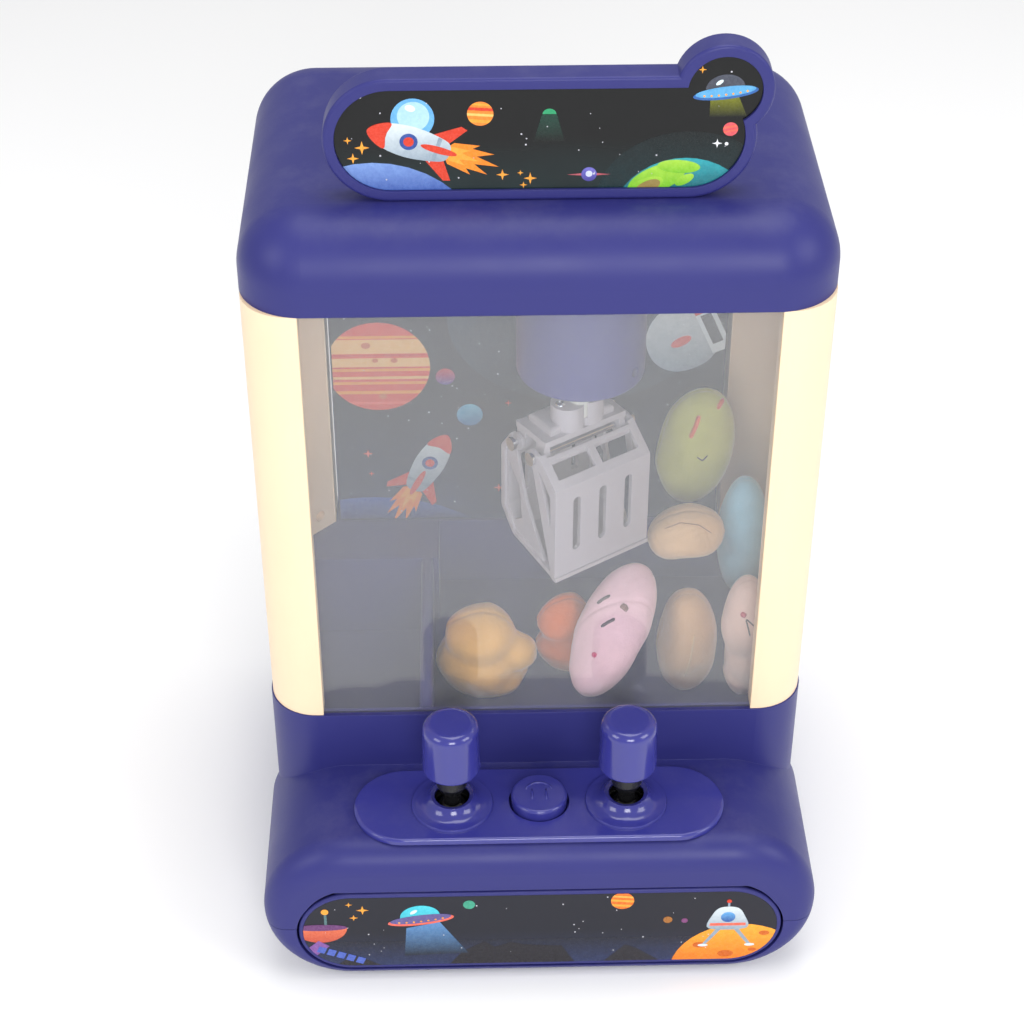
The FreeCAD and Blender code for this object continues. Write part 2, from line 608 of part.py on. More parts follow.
def pinion(axis_point, axis, width):
    """Small straight-flanked gear that runs on its motor's shaft; axis is Z or Y."""
    root_r = PITCH_R - 1.3 * MODULE
    outer_r = PITCH_R + 0.85 * MODULE
    step = 2 * math.pi / TEETH
    points = []
    for k in range(TEETH):
        middle = k * step
        for radius, half in ((root_r, 0.36), (outer_r, 0.10), (outer_r, -0.10), (root_r, -0.36)):
            angle = middle - half * step
            points.append(Vector(radius * math.cos(angle), radius * math.sin(angle), 0))
    gear = Part.Face(Part.makePolygon(points + points[:1])).extrude(Z * width)
    gear = gear.cut(Part.makeCylinder(SHAFT_R + RUN_FIT, width + 2, Vector(0, 0, -1)))
    if axis == "Y":
        gear.rotate(Vector(0, 0, 0), X, -90)
    gear.translate(Vector(*axis_point))
    return gear


def rack_teeth(length, width, depth):
    """Rack along +X with its teeth towards +Y and its pitch line on y = 0."""
    bar = solid_box(-length / 2, length / 2, -depth, -1.2 * MODULE, 0, width)
    count = int(length / TOOTH_PITCH / 2)
    for k in range(-count, count):
        x = (k + 0.5) * TOOTH_PITCH
        tooth = [(-1.05, -1.3), (1.05, -1.3), (0.28, 0.75), (-0.28, 0.75)]
        outline = [(x + dx * MODULE, y * MODULE, 0) for dx, y in tooth]
        bar = bar.fuse(extrude(outline, (0, 0, width)))
    return bar.removeSplitter()


def rail_frame():
    """Rail holders at the hood's corners and the rack along the rear rail."""
    blocks = []
    for y in RAIL_YS:
        for side in (-1, 1):
            x0, x1 = sorted((side * 84.5, side * 92.5))
            block = solid_box(x0, x1, y - 5, y + 5, HOOD_BOTTOM + 1.6, RAIL_Z + 3)
            blocks.append(block.cut(rod(RAIL_R, (side * 80, y, RAIL_Z), (side * 91.5, y, RAIL_Z))))
    rack = rack_teeth(140, 4.6, 4.0)
    rack.rotate(Vector(0, 0, 0), Z, 180)
    rack.translate(Vector(HOME_X - 5.5 * TOOTH_PITCH, X_PINION_Y + PITCH_R + MESH_GAP, X_PINION_Z))
    blocks.append(rack)
    return Part.makeCompound(blocks)


def x_rails():
    """Two steel rods across the hood."""
    return Part.makeCompound([rod(RAIL_R, (-91.5, y, RAIL_Z), (91.5, y, RAIL_Z)) for y in RAIL_YS])


def gantry_bridge():
    """Bridge that runs on the rails and carries the cross rods."""
    bridge = None
    for y in RAIL_YS:
        block = solid_box(HOME_X - 17, HOME_X + 17, y - 5, y + 5, 269, RAIL_Z + 4)
        bridge = block if bridge is None else bridge.fuse(block)
    for side in (-1, 1):
        x0, x1 = sorted((HOME_X + side * 22, HOME_X + side * 18.4))
        y0, y1 = RAIL_YS
        bridge = bridge.fuse(solid_box(x0, x1, y0 - 5, y1 + 5, 276, RAIL_Z + 4))
        end = solid_box(min(x0, HOME_X), max(x1, HOME_X), y0 - 5, y0 + 5, 276, RAIL_Z + 4)
        bridge = bridge.fuse(end)
        end = solid_box(min(x0, HOME_X), max(x1, HOME_X), y1 - 5, y1 + 5, 276, RAIL_Z + 4)
        bridge = bridge.fuse(end)
    shelf = solid_box(HOME_X - 7.5, HOME_X + 7.5, RAIL_YS[1] + 4, X_PINION_Y + 7.5, 280.6, 282.6)
    bridge = bridge.fuse(shelf)
    for y in RAIL_YS:
        bridge = bridge.cut(rod(RAIL_R + RUN_FIT, (HOME_X - 30, y, RAIL_Z), (HOME_X + 30, y, RAIL_Z)))
    for side in (-1, 1):
        x = HOME_X + side * CROSS_DX
        bridge = bridge.cut(rod(CROSS_R, (x, RAIL_YS[0] - 3, CROSS_Z), (x, RAIL_YS[1] + 3, CROSS_Z)))
    bridge = bridge.cut(rod(1.2, (HOME_X, X_PINION_Y, 280), (HOME_X, X_PINION_Y, 284)))
    rack = rack_teeth(46, 4.6, 2.8)
    rack.rotate(Vector(0, 0, 0), Z, 90)
    rack.translate(Vector(HOME_X + Y_PINION_DX + PITCH_R + MESH_GAP, HOME_Y, Y_PINION_Z))
    bridge = bridge.cut(solid_box(HOME_X + 15, HOME_X + 20.6, HOME_Y - 24, HOME_Y + 24, 275, 290))
    return bridge.fuse(rack).removeSplitter()


def cross_rails():
    """Two thin steel rods front to back on the bridge."""
    rods = []
    for side in (-1, 1):
        x = HOME_X + side * CROSS_DX
        rods.append(rod(CROSS_R, (x, RAIL_YS[0] - 3, CROSS_Z), (x, RAIL_YS[1] + 3, CROSS_Z)))
    return Part.makeCompound(rods)


def motor(x, y, z_low, z_high, shaft_top):
    """Small can motor standing upright with its shaft up."""
    can = rod(6.0, (x, y, z_low), (x, y, z_high))
    can = fillet_where(can, 0.8, lambda p: abs(p.z - z_low) < 0.01)
    return can.fuse(rod(SHAFT_R, (x, y, z_high), (x, y, shaft_top)))


def trolley_carriage():
    """Block that slides on the cross rods, with a round plate below."""
    block = solid_box(HOME_X - 16.5, HOME_X + 16.5, HOME_Y - 12, HOME_Y + 12, CYLINDER_TOP, 276.6)
    plate = rod(CYLINDER_R, (HOME_X, HOME_Y, CYLINDER_TOP), (HOME_X, HOME_Y, CYLINDER_TOP + 2))
    block = block.fuse(plate)
    for side in (-1, 1):
        x = HOME_X + side * CROSS_DX
        block = block.cut(rod(CROSS_R + RUN_FIT, (x, -60, CROSS_Z), (x, 90, CROSS_Z)))
    block = block.cut(solid_box(HOME_X - 5.2, HOME_X + 4.2, HOME_Y - 3.8, HOME_Y + 3.8, 260, 280))
    x = HOME_X + Y_PINION_DX
    return block.cut(rod(1.3, (x, HOME_Y, 260), (x, HOME_Y, 280)))


def trolley_housing():
    """Round cover of the hoist, open at the top, guide slot in its floor."""
    can = rod(CYLINDER_R, (HOME_X, HOME_Y, CYLINDER_BOTTOM), (HOME_X, HOME_Y, CYLINDER_TOP))
    can = fillet_where(can, 1.5, lambda p: abs(p.z - CYLINDER_BOTTOM) < 0.01)
    can = can.cut(rod(CYLINDER_R - 1.8, (HOME_X, HOME_Y, CYLINDER_BOTTOM + 2), (HOME_X, HOME_Y, 300)))
    can = can.cut(solid_box(HOME_X - 4.6, HOME_X + 3.4, HOME_Y - 2.9, HOME_Y + 2.9, 200, 210))
    return can.cut(rod(2.0, (HOME_X + 15, HOME_Y - 11, 212), (HOME_X + 25, HOME_Y - 19, 212)))


def trolley_motors():
    """Upright motor of the cross drive, and the hoist's motor lying along Y on its bracket."""
    cross = motor(HOME_X + Y_PINION_DX, HOME_Y, 247, CYLINDER_TOP, Y_PINION_Z + 4)
    x = HOME_X + HOIST_DX
    can = rod(5.6, (x, HOME_Y + 4.2, HOIST_Z), (x, HOME_Y + 15, HOIST_Z))
    shaft = rod(SHAFT_R, (x, HOME_Y - 3, HOIST_Z), (x, HOME_Y + 4.2, HOIST_Z))
    bracket = solid_box(x - 3, x + 3, HOME_Y + 6, HOME_Y + 12, CYLINDER_BOTTOM + 2, HOIST_Z)
    return Part.makeCompound([cross, can.fuse(shaft).fuse(bracket)])


def lift_rod():
    """Square rod with a rack on its left side and a round swivel pin below."""
    bar = rack_teeth(62, 5.0, 5.6)
    bar.rotate(Vector(0, 0, 0), Z, 90)
    bar.rotate(Vector(0, 0, 0), X, 90)
    pitch_x = HOME_X + HOIST_DX + PITCH_R + MESH_GAP
    bar.translate(Vector(pitch_x, HOME_Y + 2.5, HOIST_Z + 3 * TOOTH_PITCH))
    lower = solid_box(HOME_X - 2.0, HOME_X + 2.4, HOME_Y - 2.5, HOME_Y + 2.5, 199.5, 210)
    pin = rod(SWIVEL_R, (HOME_X, HOME_Y, SWIVEL_END), (HOME_X, HOME_Y, 199.5))
    return bar.fuse(lower).fuse(pin).removeSplitter()


def claw_place(shape):
    """Turn a shape from the claw's own frame to where it hangs."""
    shape = shape.copy()
    shape.rotate(Vector(0, 0, 0), Z, CLAW_YAW)
    shape.translate(Vector(HOME_X, HOME_Y, 0))
    return shape


def claw_head():
    """Crosshead with a two-lobed boss and the hinge cheeks."""
    u_in = JAW_HALF - 3.4
    front_v, front_z = FRONT_HINGE
    rear_v, rear_z = REAR_HINGE
    head = solid_box(-u_in, u_in, -(front_v + 3.2), -rear_v + 3.2, 178.4, 181)
    rib = solid_box(-u_in + 4, u_in - 4, -front_v - 1, -rear_v + 1, 181, 184)
    head = head.fuse(fillet_where(rib, 1.4, lambda p: abs(p.z - 184) < 0.01))
    for side in (-1, 1):
        head = head.fuse(rod(6.4, (side * 4.4, 1.5, 181), (side * 4.4, 1.5, BOSS_TOP)))
        for v, z in (FRONT_HINGE, REAR_HINGE):
            x0, x1 = sorted((side * u_in, side * (u_in - 2.6)))
            cheek = rod(3.4, (x0, -v, z), (x1, -v, z))
            cheek = cheek.fuse(solid_box(x0, x1, -v - 2.6, -v + 2.6, z, 179))
            head = head.fuse(cheek)
    for v, z in (FRONT_HINGE, REAR_HINGE):
        head = head.cut(rod(1.2, (-30, -v, z), (30, -v, z)))
    head = head.cut(rod(SWIVEL_R + RUN_FIT, (0, 0, SWIVEL_END - 0.5), (0, 0, BOSS_TOP + 1)))
    return claw_place(head.removeSplitter())


def claw_hinge_pins():
    """Two chrome hinge pins with round heads."""
    pins = []
    for v, z in (FRONT_HINGE, REAR_HINGE):
        pin = rod(1.2, (-JAW_HALF - 0.3, -v, z), (JAW_HALF + 0.3, -v, z))
        for side in (-1, 1):
            x0 = side * (JAW_HALF + 0.3)
            head = rod(2.6, (x0, -v, z), (x0 + side * 1.4, -v, z))
            pin = pin.fuse(head)
        pins.append(pin)
    return claw_place(Part.makeCompound(pins))


def jaw_end(outline, window, u0, u1):
    """End plate of a jaw with a window in it."""
    plate = extrude([(u0, -v, z) for v, z in outline], (u1 - u0, 0, 0))
    hole = extrude([(u0 - 1, -v, z) for v, z in window], (u1 - u0 + 2, 0, 0))
    return plate.cut(hole)


def claw_jaw_front():
    """Front jaw: slotted face, sloped roof with two windows, open end plates."""
    v0, z0 = FRONT_HINGE
    roof_v = v0 + 3.6
    face = solid_box(-JAW_HALF, JAW_HALF, -FACE_V, -FACE_V + JAW_T, JAW_TIP, JAW_SHOULDER)
    lip = solid_box(-JAW_HALF, JAW_HALF, -FACE_V - 0.8, -FACE_V + JAW_T, JAW_TIP, JAW_TIP + 1.6)
    jaw = face.fuse(lip)
    for u in (-12.0, 0.0, 12.0):
        slot = solid_box(u - 1.7, u + 1.7, -FACE_V - 1, -FACE_V + 3, 138, 159)
        slot = slot.fuse(rod(1.7, (u, -FACE_V - 1, 138), (u, -FACE_V + 3, 138)))
        slot = slot.fuse(rod(1.7, (u, -FACE_V - 1, 159), (u, -FACE_V + 3, 159)))
        jaw = jaw.cut(slot)
    roof = extrude([(-JAW_HALF, -FACE_V, JAW_SHOULDER - 1.6), (-JAW_HALF, -FACE_V, JAW_SHOULDER + 0.6),
                    (-JAW_HALF, -roof_v, z0 + 2.6), (-JAW_HALF, -roof_v, z0 + 0.6)], (2 * JAW_HALF, 0, 0))
    for side in (-1, 1):
        x0, x1 = sorted((side * 1.6, side * (JAW_HALF - 3.6)))
        roof = roof.cut(solid_box(x0, x1, -FACE_V + 2.8, -roof_v - 2.4, 150, 190))
    jaw = jaw.fuse(roof).cut(rod(CHEEK_RELIEF, (-CHEEK_REACH, -v0, z0), (CHEEK_REACH, -v0, z0)))
    outline = [(v0 - 1.5, z0), (v0 + 1.5, z0 + 2.6), (roof_v, z0 + 2.6), (FACE_V, JAW_SHOULDER),
               (FACE_V, JAW_TIP), (FACE_V - JAW_T, JAW_TIP)]
    window = [(v0 + 3.4, z0 - 3.5), (FACE_V - 3.4, JAW_SHOULDER - 3.5), (FACE_V - 3.0, 148)]
    for side in (-1, 1):
        u0, u1 = sorted((side * JAW_HALF, side * (JAW_HALF - 1.3)))
        plate = jaw_end(outline, window, u0, u1)
        plate = plate.fuse(rod(3.4, (u0, -v0, z0), (u1, -v0, z0)))
        jaw = jaw.fuse(plate)
    jaw = jaw.cut(rod(1.2 + RUN_FIT, (-30, -v0, z0), (30, -v0, z0)))
    return claw_place(jaw.removeSplitter())


def claw_jaw_rear():
    """Rear jaw: upright wall, bent corner and a floor that reaches the front jaw."""
    v0, z0 = REAR_HINGE
    path = [(v0 - 3.0, z0 + 2.6), (REAR_V, z0 - 6), (REAR_V, 140), (REAR_V + 7.5, 130.5),
            (FACE_V - JAW_T - 0.6, JAW_TIP)]
    back = [(v0 - 3.0, z0 + 0.4), (REAR_V + 2.2, z0 - 7), (REAR_V + 2.2, 140.9), (REAR_V + 8.3, 132.6),
            (FACE_V - JAW_T - 0.6, JAW_TIP + 2.0)]
    outline = path + back[::-1]
    inner = JAW_HALF - 2.2
    jaw = extrude([(-inner - 1.6, -v, z) for v, z in outline], (2 * inner + 3.2, 0, 0))
    for u in (-12.0, 0.0, 12.0):
        jaw = jaw.cut(solid_box(u - 1.7, u + 1.7, -REAR_V - 4, -REAR_V + 4, 144, 162))
    end = [(v0 - 1.8, z0), (v0 - 3.0, z0 + 2.6), (REAR_V, z0 - 6), (REAR_V, 140), (REAR_V + 7.5, 130.5),
           (FACE_V - 8, JAW_TIP + 1.8), (REAR_V + 14, 150)]
    window = [(REAR_V + 3.4, z0 - 12), (REAR_V + 10.5, 154), (REAR_V + 12, 140), (REAR_V + 7, 136.5),
              (REAR_V + 3.4, 142)]
    cheek = JAW_HALF - 3.0
    jaw = jaw.cut(rod(CHEEK_RELIEF, (-cheek, -v0, z0), (cheek, -v0, z0)))
    for side in (-1, 1):
        u0, u1 = sorted((side * cheek, side * (cheek + 1.4)))
        plate = jaw_end(end, window, u0, u1)
        plate = plate.fuse(rod(3.4, (u0, -v0, z0), (u1, -v0, z0)))
        jaw = jaw.fuse(plate)
    jaw = jaw.cut(rod(1.2 + RUN_FIT, (-30, -v0, z0), (30, -v0, z0)))
    return claw_place(jaw.removeSplitter())


def battery_box():
    """Tray for three cells, open downwards, with a boss for the cover's screw."""
    floor_z = SHELL_BOTTOM + WALL
    box = solid_box(-24, 32, 2, 54, floor_z, 21)
    box = box.cut(solid_box(-22.4, 30.4, 3.6, 52.4, 0, 19.4))
    boss = rod(1.9, (BAY_X, COVER_SCREW_Y, floor_z), (BAY_X, COVER_SCREW_Y, 20))
    boss = boss.fuse(solid_box(BAY_X - 1.9, BAY_X + 1.9, COVER_SCREW_Y, 53, floor_z, 20))
    boss = boss.cut(rod(COVER_SCREW_R, (BAY_X, COVER_SCREW_Y, 0), (BAY_X, COVER_SCREW_Y, COVER_SCREW_TOP)))
    return box.fuse(boss).removeSplitter()


def batteries():
    """Three round cells side by side, each with its button end."""
    cells = []
    for k in range(3):
        y = CELL_FIRST_Y + CELL_PITCH * k
        flip = -1 if k % 2 else 1
        end = BAY_X + flip * CELL_HALF
        cell = rod(CELL_R, (BAY_X - CELL_HALF, y, CELL_Z), (BAY_X + CELL_HALF, y, CELL_Z))
        cells.append(cell.fuse(rod(2.6, (end, y, CELL_Z), (end + flip * 1.2, y, CELL_Z))))
    return Part.makeCompound(cells)


def battery_cover():
    """Cover let into the underside, with a counterbored screw hole."""
    cover = solid_box(-23.8, 31.8, 2.2, 53.8, SHELL_BOTTOM, SHELL_BOTTOM + WALL)
    cover = cover.cut(rod(COVER_SCREW_R + 0.1, (BAY_X, COVER_SCREW_Y, 0), (BAY_X, COVER_SCREW_Y, 5)))
    return cover.cut(rod(2.0, (BAY_X, COVER_SCREW_Y, 0), (BAY_X, COVER_SCREW_Y, COVER_SEAT_Z)))


def housing_screws():
    """Four case screws and the battery cover's screw."""
    screws = []
    for x, y in screw_places():
        head = rod(2.6, (x, y, SHELL_BOTTOM + 3.0), (x, y, SHELL_BOTTOM + 5))
        screws.append(head.fuse(rod(1.25, (x, y, SHELL_BOTTOM + 5), (x, y, 45))))
    head = rod(1.8, (BAY_X, COVER_SCREW_Y, SHELL_BOTTOM), (BAY_X, COVER_SCREW_Y, COVER_SEAT_Z))
    shank = rod(COVER_SCREW_R, (BAY_X, COVER_SCREW_Y, COVER_SEAT_Z), (BAY_X, COVER_SCREW_Y, COVER_SCREW_TOP))
    screws.append(head.fuse(shank))
    return Part.makeCompound(screws)


def rubber_feet():
    """Four round feet under the case."""
    feet = []
    for x, y in ((-60, -72), (60, -72), (-78, 62), (78, 62)):
        feet.append(rod(7.0, (x, y, 0), (x, y, SHELL_BOTTOM)))
    return Part.makeCompound(feet)


def main_board():
    """Main board behind the battery box with a few tall parts and the slide switch."""
    board = solid_box(40, 92, 60, 62, 20, 52)
    board = board.fuse(solid_box(52, 66, 62, 80, 44, 46))
    for x, z, w, h in ((46, 26, 10, 10), (62, 24, 8, 6), (76, 34, 12, 12)):
        board = board.fuse(solid_box(x, x + w, 57.5, 60, z, z + h))
    post = rod(3.0, (86, 66, SHELL_BOTTOM + WALL), (86, 66, 44))
    foot = solid_box(82, 90, 62, 69, 30, 44)
    return board.fuse(foot).fuse(post).fuse(solid_box(54, 66, 76, 86, 46, 52))


def power_slider():
    """Thumb piece of the slide switch in the back wall."""
    return solid_box(55, 59, 86.1, 92.6, 47, 51).fuse(solid_box(53.5, 60.5, 86.1, 88.0, 46.3, 51.7))


def speaker():
    """Round speaker over the sound slots."""
    cone = rod(18, (73, 22, SHELL_BOTTOM + WALL), (73, 22, SHELL_BOTTOM + WALL + 5))
    return cone.fuse(rod(9, (73, 22, 8), (73, 22, 15)))


# each prize: middle, half lengths, then turns about Y and Z
PRIZES = {
    "plush_yellow": ((-18.4, 3, 82), (20, 17, 20), 0, 0),
    "plush_orange": ((16, 17, 79), (15.5, 12.5, 18), 0, 0),
    "plush_pink": ((30, -9, 102), (11.5, 14.5, 29), 50, 55),
    "plush_brown": ((60, 3, 86), (12.5, 14, 25), 0, 0),
    "plush_tan": ((60, 24, 122.5), (16, 13, 11.5), -12, 0),
    "plush_peach": ((82, -2, 92), (9.5, 13, 29), 0, 0),
    "plush_blue": ((84, 36, 112), (10.5, 12.5, 29), 0, 0),
    "plush_green": ((66, 58.5, 140), (16, 12, 28), 8, 0),
}


def prize(middle, half, tilt, turn):
    """Plain rounded form of a soft prize."""
    scale = Matrix()
    scale.scale(Vector(*half))
    form = Part.makeSphere(1).transformGeometry(scale)
    form.rotate(Vector(0, 0, 0), Y, tilt)
    form.rotate(Vector(0, 0, 0), Z, turn)
    form.translate(Vector(*middle))
    return form


def build():
    """Every node of the toy by name."""
    shell = base_block(0).cut(base_block(WALL))
    nodes = {
        "base_lower_shell": base_lower_shell(shell),
        "base_upper_shell": base_upper_shell(shell),
        "control_plate": control_plate(),
        "joystick_collars": Part.makeCompound([joystick_collar(-STICK_X), joystick_collar(STICK_X)]),
        "joystick_bases": Part.makeCompound([joystick_base(-STICK_X), joystick_base(STICK_X)]),
        "push_button": push_button(),
        "prize_flap": prize_flap(),
        "flap_label": flap_label(),
        "hinge_pins": hinge_pins(),
        "play_floor": play_floor(),
        "prize_ramp": prize_ramp(),
        "chute_guard": chute_guard(),
        "rear_shelf": rear_shelf(),
        "left_side_wall": side_wall(-1),
        "right_side_wall": side_wall(1),
        "front_window": front_window(),
        "rear_door": rear_door(),
        "backdrop_card": backdrop_card(),
        "hood": hood(),
        "sign_housing": sign_housing(),
        "sign_back_cover": sign_back_cover(),
        "sign_face": sign_face(),
        "rail_frame": rail_frame(),
        "x_rails": x_rails(),
        "gantry_bridge": gantry_bridge(),
        "cross_rails": cross_rails(),
        "x_motor": motor(HOME_X, X_PINION_Y, 267, 280.6, X_PINION_Z + 4),
        "x_pinion": pinion((HOME_X, X_PINION_Y, X_PINION_Z), "Z", 4.4),
        "trolley_carriage": trolley_carriage(),
        "trolley_housing": trolley_housing(),
        "trolley_motors": trolley_motors(),
        "cross_pinion": pinion((HOME_X + Y_PINION_DX, HOME_Y, Y_PINION_Z), "Z", 4.4),
        "hoist_pinion": pinion((HOME_X + HOIST_DX, HOME_Y - 2.3, HOIST_Z), "Y", 4.6),
        "lift_rod": lift_rod(),
        "claw_head": claw_head(),
        "claw_hinge_pins": claw_hinge_pins(),
        "claw_jaw_front": claw_jaw_front(),
        "claw_jaw_rear": claw_jaw_rear(),
        "battery_box": battery_box(),
        "batteries": batteries(),
        "battery_cover": battery_cover(),
        "housing_screws": housing_screws(),
        "rubber_feet": rubber_feet(),
        "circuit_boards": Part.makeCompound([control_board(), main_board()]),
        "power_slider": power_slider(),
        "speaker": speaker(),
    }
    for name, x in (("left", -STICK_X), ("right", STICK_X)):
        nodes["joystick_gimbal_" + name] = joystick_gimbal(x)
        nodes["joystick_stick_" + name] = joystick_stick(x)
        nodes["joystick_knob_" + name] = joystick_knob(x)
    for name, facts in PRIZES.items():
        nodes[name] = prize(*facts)
    return nodes


for node, shape in build().items():
    solids = len(shape.Solids)
    print(f"{node:24s} solids {solids} valid {shape.isValid()} volume {shape.Volume / 1000:.2f} cm3")
    shape.exportStep(f"parts/{node}.step")
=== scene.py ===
import json
import math
import random

import bmesh
import bpy
from mathutils import Matrix, Vector, noise
from mathutils.bvhtree import BVHTree


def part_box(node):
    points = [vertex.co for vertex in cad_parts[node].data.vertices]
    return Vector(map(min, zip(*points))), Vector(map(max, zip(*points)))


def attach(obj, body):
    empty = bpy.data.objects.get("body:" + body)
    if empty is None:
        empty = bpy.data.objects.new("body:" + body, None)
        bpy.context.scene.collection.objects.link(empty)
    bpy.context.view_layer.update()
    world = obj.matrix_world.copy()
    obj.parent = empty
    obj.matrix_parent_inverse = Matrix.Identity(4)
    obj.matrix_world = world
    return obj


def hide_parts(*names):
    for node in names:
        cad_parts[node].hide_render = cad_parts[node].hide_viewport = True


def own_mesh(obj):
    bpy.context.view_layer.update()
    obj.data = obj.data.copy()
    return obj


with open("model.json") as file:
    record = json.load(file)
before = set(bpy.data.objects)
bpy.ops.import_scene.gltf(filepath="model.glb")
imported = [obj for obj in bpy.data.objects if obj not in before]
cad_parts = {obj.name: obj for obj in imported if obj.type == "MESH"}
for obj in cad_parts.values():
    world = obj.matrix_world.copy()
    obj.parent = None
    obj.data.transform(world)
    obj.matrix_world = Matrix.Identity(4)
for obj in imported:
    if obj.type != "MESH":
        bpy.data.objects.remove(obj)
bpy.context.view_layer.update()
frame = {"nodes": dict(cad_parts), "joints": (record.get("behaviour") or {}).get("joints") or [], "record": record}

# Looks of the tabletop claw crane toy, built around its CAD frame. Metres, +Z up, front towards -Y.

bl_info = {
    "name": "Claw crane toy",
    "version": (1, 0, 0),
    "blender": (4, 5, 0),
    "location": "3D View > Sidebar > Claw crane",
    "description": "Finishes, printed panels, soft prizes and small trim of a claw crane toy",
    "category": "Object",
}

MM = 0.001

# the claw's turn about its swivel, and the places of its screws on the boss, degrees and millimetres
CLAW_YAW = 34.0
BOSS_SCREW_OUT = 7.8
BOSS_SCREW_BACK = 1.5
BOSS_SCREW_R = 1.9

# the sign: half its height, the corner disc, and the margin without ink, millimetres
SIGN_R = 17.8
DISC_R = 11.9
INK_MARGIN = 0.2

# stuffing of the prizes, and the side seam in metres
STUFFING_STEPS = 20
STUFFING_PRESSURE = 4.0
SEAM_HALF = 0.0011
SEAM_DEPTH = 0.0005

# part of the light that reaches the inside through the window
LIGHT_THROUGH = 0.85

# studio: background strength, and softboxes as (name, place, aim, size, watts)
BACKGROUND_LIGHT = 0.6
SOFTBOXES = (
    ("overhead_softbox", (0.1, 0.1, 1.5), (0, 0, 0.1), 0.9, 9),
    ("left_softbox", (-1.1, -0.7, 0.9), (0, 0, 0.15), 0.6, 5),
    ("right_softbox", (1.1, -0.6, 0.8), (0, 0, 0.15), 0.6, 5),
    ("front_softbox", (0.1, -1.3, 0.75), (0, 0, 0.18), 0.5, 8),
)
CAMERA_PLACE = (-0.0245, -0.66006, 0.6505)
CAMERA_DOWN = 37.07
CAMERA_YAW = -1.4
FRONT = Vector((0, -1, 0))
UP = Vector((0, 0, 1))


def srgb(r, g, b):
    """Linear colour from screen values of 0 to 255."""

    def linear(value):
        share = value / 255
        return share / 12.92 if share <= 0.04045 else ((share + 0.055) / 1.055) ** 2.4

    return (linear(r), linear(g), linear(b), 1.0)


# ---------------------------------------------------------------- settings


class CaseSettings(bpy.types.PropertyGroup):
    """Colours and surface of the moulded plastic parts."""

    case_colour: bpy.props.FloatVectorProperty(
        name="Case colour", description="Satin plastic of base and hood", subtype="COLOR", size=4,
        min=0, max=1, default=srgb(46, 47, 114))
    gloss_colour: bpy.props.FloatVectorProperty(
        name="Control colour", description="Glossy plastic of caps, button and plate", subtype="COLOR",
        size=4, min=0, max=1, default=srgb(52, 53, 134))
    wall_colour: bpy.props.FloatVectorProperty(
        name="Post colour", description="Cream plastic of the side walls", subtype="COLOR", size=4,
        min=0, max=1, default=srgb(247, 218, 184))
    claw_colour: bpy.props.FloatVectorProperty(
        name="Claw colour", description="Grey plastic of the claw", subtype="COLOR", size=4,
        min=0, max=1, default=srgb(172, 166, 172))
    edge_radius: bpy.props.FloatProperty(
        name="Edge radius", description="How far light wraps round a moulded edge", unit="LENGTH",
        min=0, max=0.002, default=0.0004)
    grain_size: bpy.props.FloatProperty(
        name="Grain size", description="Width of one fleck of the moulded grain", unit="LENGTH",
        min=0.0001, max=0.005, default=0.0006)


class PrintSettings(bpy.types.PropertyGroup):
    """Printed panels."""

    ink_step: bpy.props.FloatProperty(
        name="Ink step", description="Height of one printed layer over the next", unit="LENGTH",
        min=0.000005, max=0.0001, default=0.00002)
    star_count: bpy.props.IntProperty(
        name="Fine stars", description="Small specks on each panel", min=0, max=200, default=34)


class PrizeSettings(bpy.types.PropertyGroup):
    """Soft prizes."""

    voxel: bpy.props.FloatProperty(
        name="Mesh size", description="Width of a mesh cell before smoothing", unit="LENGTH",
        min=0.0008, max=0.005, default=0.0016)
    swell: bpy.props.FloatProperty(
        name="Most swelling", description="How far stuffing may push the cloth out", unit="LENGTH",
        min=0, max=0.005, default=0.0014)
    pile_height: bpy.props.FloatProperty(
        name="Pile height", description="Unevenness of the short pile", unit="LENGTH",
        min=0, max=0.001, default=0.00016)


class StageSettings(bpy.types.PropertyGroup):
    """Floor, light and camera."""

    floor_size: bpy.props.FloatProperty(
        name="Floor size", description="Side of the pale floor", unit="LENGTH", min=1, max=20, default=6.0)
    focal_length: bpy.props.FloatProperty(
        name="Focal length", description="Lens of the camera in millimetres", min=20, max=200,
        default=78.02)


SETTINGS = {
    "crane_case": CaseSettings,
    "crane_print": PrintSettings,
    "crane_prizes": PrizeSettings,
    "crane_stage": StageSettings,
}


# ---------------------------------------------------------------- node helpers


